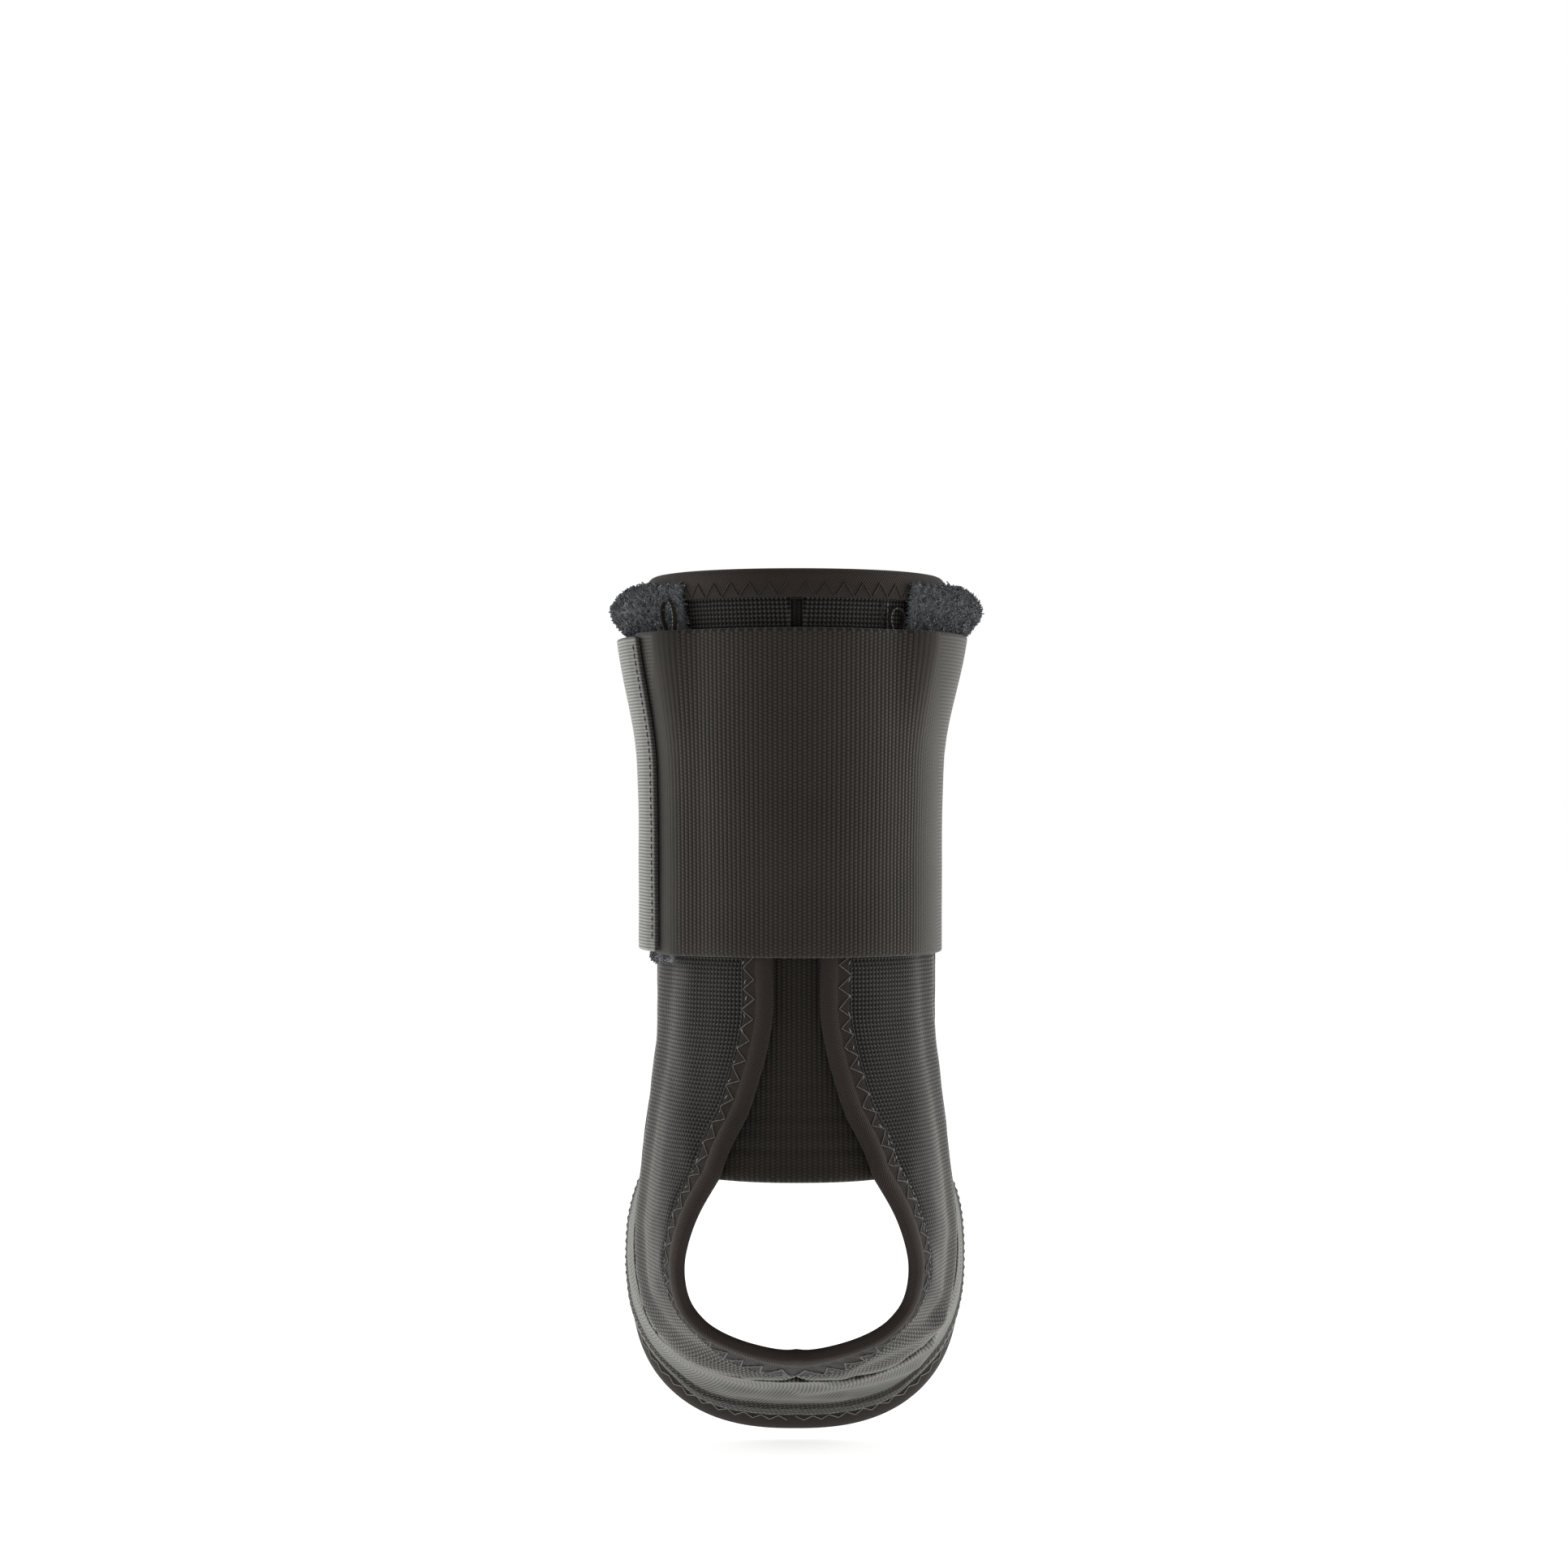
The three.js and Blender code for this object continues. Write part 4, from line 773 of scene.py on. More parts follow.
def make_materials(settings):
    weave, ribs = basket_weave_group(), ribs_group()
    tone_and_painted_bounce_group()
    nylon, strap, elastic = settings.nylon, settings.strap, settings.elastic
    tab, tape, thread = settings.tab, settings.tape, settings.thread
    # Each cloth's third colour is the paler grey of its painted sheen, mixed in where the cloth is seen
    # edge-on
    return {
        "nylon": fabric_material(
            # The lighter end is mostly painted glints on the threads that lie on top
            "nylon_weave", dim(nylon, 0.3), dim(nylon, 5.4), weave,
            {"Pitch": settings.weave_pitch, "Wander": 0.22},
            bump=0.0003, roughness=0.6, sheen=0.02, painted_sheen=(0.25, 0.25, 0.23), power=4.0, detail="Thread",
            # The nylon also takes the painted bounce light near the sole
            specular=0.07, painted_bounce=0.3),
        # Set paler than the panel nylon, partly as painted bounce light under the arch
        "strap": fabric_material(
            "strap_weave", dim(strap, 0.3), dim(strap, 4.2), weave,
            {"Pitch": 0.00078, "Turn": 0.6, "Wander": 0.2},
            bump=0.0003, roughness=0.6, sheen=0.02, painted_sheen=(0.29, 0.29, 0.265), detail="Thread",
            specular=0.08),
        "tape": fabric_material(
            "binding_twill", dim(tape, 0.6), dim(tape, 1.6), ribs,
            {"Pitch": 0.0006, "Knot": 0.0011, "Turn": 0.95, "Knot Share": 0.3},
            bump=0.00015, roughness=0.65, sheen=0.02, painted_sheen=(0.06, 0.056, 0.052), power=3.0,
            specular=0.1),
        "gore": fabric_material(
            "gore_knit", dim(elastic, 0.55), dim(elastic, 1.8), ribs,
            {"Pitch": 0.0014, "Knot": 0.0009, "Knot Share": 0.75},
            bump=0.00025, roughness=0.8, sheen=0.03, painted_sheen=(0.12, 0.11, 0.1)),
        "cuff": fabric_material(
            "cuff_knit", dim(elastic, 0.45), dim(elastic, 2.6), ribs,
            {"Pitch": settings.rib_pitch, "Knot": 0.001, "Knot Share": 0.8, "Side Start": 0.032},
            bump=0.00022, roughness=0.65, sheen=0.05, painted_sheen=(0.13, 0.125, 0.112), power=3.0),
        "tab": fabric_material(
            "tab_knit", dim(tab, 0.5), dim(tab, 2.0), ribs,
            {"Pitch": 0.0009, "Knot": 0.0007, "Turn": math.pi / 2, "Knot Share": 0.4},
            bump=0.00025, roughness=0.6, sheen=0.1, painted_sheen=(0.3, 0.3, 0.275), power=2.3),
        # Wide speckle on the pile, partly painted highlights on the fibres
        "pile": plain_material("pile_fibre", settings.pile, 0.9, sheen=0.2, scale=500.0, spread=0.75),
        "thread_light": plain_material("thread_light", thread, 0.5),
        "thread_grey": plain_material("thread_grey", dim(thread, 0.4), 0.6, sheen=0.1),
        "thread_dark": plain_material("thread_dark", dim(tape, 0.3), 0.7, sheen=0.0),
    }


def stitch_tree():
    """Bent lengths of thread on points that carry lie, up and reach."""
    tree, n, given, result = node_group(
        "stitches", [("Geometry", "NodeSocketGeometry", None), ("Thread Share", FLOAT, 0.2),
                     ("Dip", FLOAT, 0.6), ("Material", "NodeSocketMaterial", None)],
        [("Geometry", "NodeSocketGeometry")], "GeometryNodeTree")

    def attribute(name, kind):
        return n.add("GeometryNodeInputNamedAttribute", [name], data_type=kind).outputs[0]

    low = n.math("MULTIPLY", n.math("MULTIPLY", given["Dip"], -1.0), given["Thread Share"])
    top = n.math("MULTIPLY", given["Thread Share"], 0.9)
    start, middle, end = (n.add("ShaderNodeCombineXYZ", [x, 0.0, z]).outputs[0]
                          for x, z in ((-0.5, low), (0.0, top), (0.5, low)))
    arc = n.add("GeometryNodeCurveQuadraticBezier",
                {"Resolution": 6, "Start": start, "Middle": middle, "End": end}).outputs[0]
    radius = n.math("MULTIPLY", given["Thread Share"], 0.5)
    ring = n.add("GeometryNodeCurvePrimitiveCircle", {"Resolution": 6, "Radius": radius}).outputs[0]
    tube = n.add("GeometryNodeCurveToMesh",
                 {"Curve": arc, "Profile Curve": ring, "Fill Caps": True}).outputs[0]
    points = n.add("GeometryNodeMeshToPoints", {"Mesh": given["Geometry"]}).outputs[0]
    up, lie = attribute("up", "FLOAT_VECTOR"), attribute("lie", "FLOAT_VECTOR")
    turn = n.add("FunctionNodeAxesToRotation", {"Primary Axis": up, "Secondary Axis": lie},
                 primary_axis="Z", secondary_axis="X").outputs[0]
    sewn = n.add("GeometryNodeInstanceOnPoints", {
        "Points": points, "Instance": tube, "Rotation": turn, "Scale": attribute("reach", "FLOAT")})
    sewn = n.add("GeometryNodeRealizeInstances", [sewn.outputs[0]]).outputs[0]
    smooth = n.add("GeometryNodeSetShadeSmooth", [sewn]).outputs[0]
    painted = n.add("GeometryNodeSetMaterial", {"Geometry": smooth, "Material": given["Material"]}).outputs[0]
    tree.links.new(painted, result["Geometry"])


def pile_tree():
    """Curled fibres over the faces of a backing."""
    tree, n, given, result = node_group(
        "pile_fibres", [("Geometry", "NodeSocketGeometry", None), ("Density", FLOAT, 1e6),
                        ("Fibre", FLOAT, 0.0016), ("Thickness", FLOAT, 0.00016),
                        ("Seed", "NodeSocketInt", 4), ("Material", "NodeSocketMaterial", None)],
        [("Geometry", "NodeSocketGeometry")], "GeometryNodeTree")
    seed = given["Seed"]
    spread = n.add("GeometryNodeDistributePointsOnFaces", {
        "Mesh": given["Geometry"], "Density": given["Density"], "Seed": seed})
    radius = n.math("DIVIDE", given["Thickness"], given["Fibre"])
    curl = n.add("GeometryNodeCurveSpiral", {
        "Resolution": 4, "Rotations": 0.75, "Start Radius": 0.34, "End Radius": 0.12,
        "Height": 0.75}).outputs[0]
    ring = n.add("GeometryNodeCurvePrimitiveCircle", {"Resolution": 3, "Radius": radius}).outputs[0]
    fibre = n.add("GeometryNodeCurveToMesh",
                  {"Curve": curl, "Profile Curve": ring, "Fill Caps": True}).outputs[0]
    turn = n.add("FunctionNodeAlignRotationToVector", {
        "Vector": spread.outputs["Normal"]}, axis="Z").outputs[0]
    lean = n.add("FunctionNodeRandomValue", {
        0: (-0.8, -0.8, 0.0), 1: (0.8, 0.8, 6.28), "Seed": seed}, data_type="FLOAT_VECTOR").outputs[0]
    turned = n.add("FunctionNodeRotateRotation", {"Rotation": turn}, rotation_space="LOCAL")
    tree.links.new(n.add("FunctionNodeEulerToRotation", [lean]).outputs[0], turned.inputs[1])
    size = n.add("FunctionNodeRandomValue", {2: 0.6, 3: 1.3, "Seed": seed}, data_type="FLOAT").outputs[1]
    grown = n.add("GeometryNodeInstanceOnPoints", {
        "Points": spread.outputs["Points"], "Instance": fibre, "Rotation": turned.outputs[0],
        "Scale": n.math("MULTIPLY", size, given["Fibre"])}).outputs[0]
    grown = n.add("GeometryNodeRealizeInstances", [grown]).outputs[0]
    painted = n.add("GeometryNodeSetMaterial", {"Geometry": grown, "Material": given["Material"]}).outputs[0]
    tree.links.new(painted, result["Geometry"])


def rib_tree():
    """Raises ribs along the normals where the points carry rib_run and rib_share."""
    tree, n, given, result = node_group(
        "rib_relief", [("Geometry", "NodeSocketGeometry", None), ("Pitch", FLOAT, 0.0013),
                       ("Depth", FLOAT, 0.0003)],
        [("Geometry", "NodeSocketGeometry")], "GeometryNodeTree")
    run = n.add("GeometryNodeInputNamedAttribute", ["rib_run"], data_type="FLOAT").outputs[0]
    share = n.add("GeometryNodeInputNamedAttribute", ["rib_share"], data_type="FLOAT").outputs[0]
    turns = n.math("MULTIPLY", n.math("DIVIDE", run, given["Pitch"]), math.pi)
    wave = n.math("SUBTRACT", n.math("ABSOLUTE", n.math("SINE", turns)), RIB_MIDDLE)
    depth = n.math("MULTIPLY", n.math("MULTIPLY", wave, given["Depth"]), share)
    normal = n.add("GeometryNodeInputNormal").outputs[0]
    offset = n.add("ShaderNodeVectorMath", {0: normal}, operation="SCALE")
    tree.links.new(depth, offset.inputs["Scale"])
    moved = n.add("GeometryNodeSetPosition", {"Geometry": given["Geometry"], "Offset": offset.outputs[0]})
    tree.links.new(moved.outputs[0], result["Geometry"])


def apply_tree(obj, tree, **inputs):
    """Runs a geometry tree on an object and keeps the result as a plain mesh."""
    modifier = obj.modifiers.new(tree.name, "NODES")
    modifier.node_group = tree
    for item in tree.interface.items_tree:
        if item.in_out == "INPUT" and item.name in inputs:
            modifier[item.identifier] = inputs[item.name]
    obj.update_tag()
    graph = bpy.context.evaluated_depsgraph_get()
    mesh = bpy.data.meshes.new_from_object(obj.evaluated_get(graph))
    obj.modifiers.remove(modifier)
    obj.data = mesh
    return obj


def set_attribute(obj, name, values, kind="FLOAT"):
    attribute = obj.data.attributes.new(name, kind, "POINT")
    attribute.data.foreach_set("value" if kind == "FLOAT" else "vector",
                               np.asarray(values, np.float32).ravel())


def fill_ribs(obj, cloth, run, share):
    """Stores where each point lies across the ribs; only the outer face is raised."""
    count = cloth.outer.shape[0] * cloth.outer.shape[1]
    total = len(obj.data.vertices)
    runs, shares = np.zeros(total), np.zeros(total)
    runs[:count] = (run + np.zeros(cloth.outer.shape[:2])).ravel() * MM
    shares[:count] = (share + np.zeros(cloth.outer.shape[:2])).ravel()
    set_attribute(obj, "rib_run", runs)
    set_attribute(obj, "rib_share", shares)


def stitch_object(name, starts, ends, normals, material, slot, thread, dip=0.6):
    """One piece made of separate stitches from starts to ends."""
    way = ends - starts
    mesh = bpy.data.meshes.new(name)
    mesh.from_pydata(((starts + ends) / 2 * MM).tolist(), [], [])
    obj = bpy.data.objects.new(name, mesh)
    bpy.context.collection.objects.link(obj)
    set_attribute(obj, "lie", unit(way), "FLOAT_VECTOR")
    set_attribute(obj, "up", unit(normals), "FLOAT_VECTOR")
    reach = np.linalg.norm(way, axis=1)
    set_attribute(obj, "reach", reach * MM)
    apply_tree(obj, bpy.data.node_groups["stitches"], Dip=dip, Material=material,
               **{"Thread Share": float(thread / reach.mean())})
    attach(obj, "root")


def even_stitches(points, normals, pitch, length):
    """Stitches of one length at an even pitch along a line of points."""
    at = cumulative(points, 0)
    centres = np.arange(pitch / 2, at[-1] - pitch / 2, pitch)

    def pick(values, place):
        return np.stack([np.interp(place, at, values[:, k]) for k in range(3)], -1)

    return pick(points, centres - length / 2), pick(points, centres + length / 2), pick(normals, centres)


def stitch_row(name, points, normals, row, thread, slot, dip=0.6):
    """One piece of even stitches; row holds pitch, length and thickness of the thread."""
    pitch, length, thickness = row
    stitch_object(name, *even_stitches(points, normals, pitch, length), materials[thread], slot,
                  thickness, dip)


def zigzag_stitches(cloth, row, start=0.0, end=None, closed=False):
    """Legs of a zigzag along a cloth's length; row holds edges, pitch, lift, jitter and seed."""
    near, far, pitch, lift, jitter, seed = row
    whole = cloth.length[-1]
    end = whole if end is None else end
    if closed:
        pitch = whole / round(whole / pitch)
    down = np.arange(start, end, pitch / 2)
    across = np.where(np.arange(len(down)) % 2 == 0, near, far).astype(float)
    draw = np.random.default_rng(seed)
    down = down + draw.uniform(-jitter, jitter, len(down))
    across = across + draw.uniform(-jitter, jitter, len(down))
    corners = np.arange(len(down))
    fine = np.linspace(0, len(down) - 1, LEG_PARTS * (len(down) - 1) + 1)
    points, normals = cloth.at(np.interp(fine, corners, down), np.interp(fine, corners, across), lift)
    return points[:-1], points[1:], (normals[:-1] + normals[1:]) / 2


def join_stitches(*sets):
    return tuple(np.concatenate([each[k] for each in sets]) for k in range(3))


def finish_piece(obj, node):
    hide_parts(node)
    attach(obj, "root")
    return obj


def strap_course():
    """Rows from the sole's middle up one side: along and angle of the rear edge, then of the front edge."""
    bottom, distal = hollow(opening_bottom_along, 0), hollow(LAST_KNOT, 0)
    reach = BINDING_WIDTH + STRAP_SETBACK
    start = bisect(opening_bottom_along, LAST_KNOT, lambda s: (
        np.linalg.norm(hollow(s, 0) - bottom) > reach + SOLE_WIDENING), FINE_HALVINGS)
    end = bisect(opening_bottom_along, LAST_KNOT, lambda s: (
        np.linalg.norm(hollow(s, 0) - distal) < reach), FINE_HALVINGS)
    half = [(float(start), rear * DEGREE, float(end), front * DEGREE) for rear, front in STRAP_SOLE_ROWS]

    def height(share):
        return share * (ARCH_DROP if share < 0 else STRAP_END_HEIGHT)

    for rear_y, rear_z, front_y, front_z in STRAP_SIDE_ROWS:
        half.append((*place_from_side(ARCH_REACH * rear_y, height(rear_z)),
                     *place_from_side(ARCH_REACH * front_y, height(front_z))))
    end_along = float(along_at_height(STRAP_END_HEIGHT))
    half.append((end_along, STRAP_END_ANGLES[0] * DEGREE, end_along, STRAP_END_ANGLES[1] * DEGREE))
    return half


def strap_place(course, u, way):
    """Place on the strap: u across it, way from -1 at the left end to 1 at the right end."""
    row = spline(course, np.arange(len(course)), np.abs(way) * (len(course) - 1))
    return lerp(row[..., 0], row[..., 2], u), lerp(row[..., 1], row[..., 3], u) * np.where(way < 0, -1, 1)


def gap_to_edge(points):
    """Distance of a panel's points from the edge of its slit and heel opening."""
    places = np.concatenate([places_through(rows, EDGE_POINTS) for rows in (slit_rows, opening_rows)])
    edge = stand_off(places[:, 0], places[:, 1], PANEL)
    flat = points.reshape(-1, 3) * (np.sign(points[..., 0].mean()), 1, 1)
    gap = ((flat[:, None] - edge[None]) ** 2).sum(-1).min(1)
    return np.sqrt(gap).reshape(points.shape[:-1])


def rise_to_strap(points):
    """How far a panel swells towards the strap's rear edge, so that the edge lies flush."""
    way = np.linspace(0.03, 1, STRAP_EDGE_POINTS)
    course = strap_course()
    edge = stand_off(*strap_place(course, 0.0, way), PANEL)
    inward = unit(stand_off(*strap_place(course, 0.03, way), PANEL) - edge)
    flat = points.reshape(-1, 3) * (np.sign(points[..., 0].mean()), 1, 1)
    gap = ((flat[:, None] - edge[None]) ** 2).sum(-1)
    nearest = gap.argmin(1)
    inside = ((flat - edge[nearest]) * inward[nearest]).sum(-1)
    distance = np.sqrt(gap[np.arange(len(flat)), nearest]) * np.where(inside > 0, -1, 1)
    rise = SWELL_RISE * smooth_step(*SWELL_OUTSIDE, distance) * smooth_step(*SWELL_INSIDE, distance)
    return rise.reshape(points.shape[:-1])


def distal_flare(along, angle):
    """How far the distal edge opens out at the sides of the foot."""
    height = hollow(along, angle)[..., 2]
    near_end = smooth_step(LAST_KNOT - FLARE_RUN, LAST_KNOT, along)
    at_side = smooth_step(*FLARE_SIDES, np.abs(np.sin(angle)))
    return DISTAL_FLARE * near_end * at_side * smooth_step(*FLARE_HEIGHTS, height)


def panel_relief(points):
    return fold_rise(points, PANEL_FOLDS) + uneven(points, PANEL_UNEVEN)


def panel_edge():
    """Places down the slit, round the heel opening and along the middle of the sole."""
    slit = places_through(slit_rows, PANEL_ROWS, PANEL_SLIT_BIAS)
    opening = places_through(opening_rows, PANEL_ROWS)
    shares = np.arange(1, ARCH_ROWS + 1) / ARCH_ROWS
    arch = np.stack([lerp(opening_bottom_along, LAST_KNOT, shares), np.zeros(ARCH_ROWS)], -1)
    edge = np.concatenate([slit, opening[1:], arch])
    edge[0, 0] = 0
    return edge


def side_panel(name, mirror):
    edge = panel_edge()
    rows = len(edge) - 1
    after = np.clip((np.arange(rows + 1) - PANEL_ROWS) / (rows - PANEL_ROWS), 0, 1)
    front = np.where(np.arange(rows + 1) <= PANEL_ROWS, edge[:, 0], lerp(hem_along, LAST_KNOT, after))
    seam = LAYER_GAP / 2
    start = np.maximum(edge[:, 1], angle_at_half(edge[:, 0], seam))
    end = angle_at_half(front, seam, True)
    u = near_edges(PANEL_COLUMNS + 1, PANEL_CLOSENESS)[None]
    along, angle = lerp(edge[:, :1], front[:, None], u), lerp(start[:, None], end[:, None], u)
    outer, inner = stand_off(along, angle, PANEL + 0 * u), stand_off(along, angle, 0 * u)
    if mirror:
        outer, inner = outer * (-1, 1, 1), inner * (-1, 1, 1)
    normal = unit(outer - inner)
    cover = smooth_step(PANEL_COVER_START, 1.0, u)
    away = smooth_step(BINDING_WIDTH - PANEL_TUCK, BINDING_WIDTH + PANEL_RUN, gap_to_edge(outer))
    rise = panel_relief(outer) * away * (1 - PANEL_COVER_CALM * cover) + distal_flare(along, angle)
    below_cuff = smooth_step(CUFF_BOTTOM + SWELL_ABOVE, CUFF_BOTTOM - SWELL_BELOW, outer[..., 2])
    rise = rise + rise_to_strap(outer) * below_cuff * away
    outer = outer + normal * rise[..., None]
    inner = inner + normal * (rise * PANEL_INNER_RISE_SHARE)[..., None]
    obj = cloth_object(name + "_cloth", Cloth(outer, inner), materials["nylon"])
    finish_piece(obj, name)


def front_tape():
    start = float(along_at_height(TOP_HEIGHT - TOP_BINDING_WIDTH - STRAP_SETBACK))
    distal = hollow(LAST_KNOT, math.pi)
    end = float(bisect(hem_along, LAST_KNOT, lambda s: (
        np.linalg.norm(hollow(s, math.pi) - distal) < BINDING_WIDTH + STRAP_SETBACK), FINE_HALVINGS))

    def place(u, v):
        along = lerp(start, end, v)
        half = FRONT_SEAM_TAPE_WIDTH / 2 * (2 * u - 1)
        angle = angle_at_half(along, np.maximum(np.abs(half), 0.001), True)
        return along, np.where(half < 0, 2 * math.pi - angle, angle)

    def span(u, _v, _along, _angle):
        return OVER_PANEL + 0 * u, OVER_PANEL + SEAM_TAPE + 0 * u

    def relief(points, u, _v):
        return SEAM_TAPE_RISE * np.sin(math.pi * u) + uneven(points, SEAM_TAPE_UNEVEN)

    cloth = sheet_cloth(SEAM_TAPE_GRID, place, span, relief)
    obj = cloth_object("front_tape_cloth", cloth, materials["tape"])
    finish_piece(obj, "front_seam_tape")
    down = np.linspace(1, cloth.length[-1] - 1, 500)
    pitch, length, thickness = SEAM_TAPE_STITCHES
    rows = [even_stitches(*cloth.at(down, 0 * down + edge, 0.03), pitch, length)
            for edge in (SEAM_TAPE_INSET, cloth.width[-1] - SEAM_TAPE_INSET)]
    stitch_object("front_tape_stitches", *join_stitches(*rows), materials["thread_light"], "binding_tape",
                  thickness)


def top_seam():
    """Seam with a dotted row beside it, on the right panel above the cuff."""
    height = np.linspace(TOP_HEIGHT - TOP_BINDING_WIDTH - 0.5, CUFF_TOP - 12, 60)
    rows = []
    for half in TOP_SEAM_HALVES:
        along, angle = np.array([place_from_behind(half, float(z)) for z in height]).T
        points = stand_off(along, angle, PANEL + TOP_SEAM_LIFT)
        normal = hollow_ways(along, angle)[2]
        rows.append((points + normal * panel_relief(points)[:, None], normal))
    stitch_row("top_seam_line", *rows[0], TOP_SEAM_LINE, "thread_dark", "woven_nylon")
    stitch_row("top_seam_dots", *rows[1], TOP_SEAM_DOTS, "thread_light", "woven_nylon")


def achilles_gore():
    top = TOP_HEIGHT - GORE_TOP_CLEARANCE
    rise = [lerp(HEM_HEIGHT, TOP_HEIGHT, up) for up, _half in SLIT_ROWS][::-1]
    half_width = [[HEM_WIDTH / 2 * half] for _up, half in SLIT_ROWS][::-1]

    def place(u, v):
        height = lerp(top, HEM_HEIGHT, v)
        half = (spline(half_width, rise, height)[..., 0] + GORE_OVERLAP) * (2 * u - 1)
        found = place_from_behind(np.abs(half), height)
        return found[..., 0], np.sign(half) * found[..., 1]

    def span(_u, v, _along, _angle):
        fold = smooth_step(GORE_HEM_FOLD * 1.25, GORE_HEM_FOLD * 0.8, (1 - v) * (top - HEM_HEIGHT))
        return -LAYER_GAP - GORE * (1 + fold), -LAYER_GAP + 0 * v

    def relief(points, _u, v):
        low = (1 - v) * (top - HEM_HEIGHT)
        ripple = GORE_RIPPLE_RISE * np.sin(low * 2 * math.pi / GORE_RIPPLE_PITCH)
        return (smooth_step(*GORE_RIPPLE_HEIGHTS, low) * ripple + uneven(points, GORE_UNEVEN)
                - groove(low, *GORE_GROOVE))

    cloth = sheet_cloth(GORE_GRID, place, span, relief)
    cloth.across = cloth.outer[..., 0].copy()
    obj = cloth_object("gore_knit", cloth, materials["gore"])
    low = (1 - near_edges(GORE_GRID[0] + 1)[:, None]) * (top - HEM_HEIGHT)
    fill_ribs(obj, cloth, cloth.across, smooth_step(*GORE_RIB_EDGE, low))
    apply_tree(obj, bpy.data.node_groups["rib_relief"], Pitch=GORE_RIB_PITCH * MM, Depth=GORE_RIB_DEPTH * MM)
    finish_piece(obj, "achilles_gore")


def channel_profile(width, roll):
    """Rounded channel that wraps a free edge: outer leg, fold and inner leg."""
    top, under = OVER_PANEL + TAPE, -CHANNEL_GAP - TAPE
    inner_width = width * INNER_LEG_SHARE
    steps = np.linspace(0, 1, CHANNEL_STEPS)
    outer = np.stack([lerp(width, 0, steps), top + roll * np.sin(math.pi * steps) ** 0.7], -1)
    turn = np.linspace(0, math.pi, CHANNEL_BEND)[1:-1]
    middle, reach = (top + under) / 2, (top - under) / 2
    bend = np.stack([under * 0.15 + (under * 1.05) * np.sin(turn), middle + reach * np.cos(turn)], -1)
    back = np.array([[0, under], [inner_width * 0.5, under], [inner_width, under + 0.1],
                     [inner_width, -CHANNEL_GAP], [-0.2, -CHANNEL_GAP], [-CHANNEL_GAP, 0.2],
                     [-CHANNEL_GAP, OVER_PANEL - 0.2], [0, OVER_PANEL], [width - 0.1, OVER_PANEL]])
    return np.concatenate([outer, bend, back])


def ring_places(along, steps):
    return np.stack([np.full(steps, float(along)), 2 * math.pi * np.arange(steps) / steps], -1)


def top_binding():
    profile = channel_profile(TOP_BINDING_WIDTH, TOP_ROLL)
    rings = band_rings(ring_places(0, TOP_RING_STEPS), profile, True, 1)
    obj = band_object("top_binding_tape", rings, materials["tape"], True)
    finish_piece(obj, "top_binding")
    legs = zigzag_stitches(band_top(rings, 0, CHANNEL_STEPS, True), TOP_ZIGZAG, closed=True)
    stitch_object("top_binding_zigzag", *legs, materials["thread_dark"], "binding_tape", TOP_THREAD, 0.0)


def distal_binding():
    ring = ring_places(LAST_KNOT, DISTAL_RING_STEPS)
    flare = distal_flare(ring[:, 0], ring[:, 1])[:, None, None] * (0, 1)
    rings = band_rings(ring, channel_profile(BINDING_WIDTH, DISTAL_ROLL) + flare, True, -1)
    obj = band_object("distal_binding_tape", rings, materials["tape"], True)
    finish_piece(obj, "distal_binding")
    legs = zigzag_stitches(band_top(rings, 0, CHANNEL_STEPS, True), DISTAL_ZIGZAG, closed=True)
    stitch_object("distal_binding_zigzag", *legs, materials["thread_light"], "binding_tape", DISTAL_THREAD,
                  0.0)


def heel_places():
    """Places along the heel tape, down the right edge and up the left one, rounded at the bottom."""
    slit = places_through(slit_rows, HEEL_SLIT_STEPS)
    covered = hollow(slit[:, 0], 0 * slit[:, 0])[:, 2] < HEEL_BINDING_TOP
    slit = slit[covered & (slit[:, 0] < hem_along - HEEL_STEP_GAP)]
    right = np.concatenate([slit, places_through(opening_rows, HEEL_OPENING_STEPS)])
    left = right[:-1][::-1] * (1, -1)
    places = np.concatenate([right, left])
    low = slice(len(right) - HEEL_SMOOTH_SPAN, len(right) + HEEL_SMOOTH_SPAN - 1)
    for _ in range(HEEL_SMOOTH_ROUNDS):
        places[low] = (places[low] * 2 + np.roll(places, 1, 0)[low] + np.roll(places, -1, 0)[low]) / 4
    return places


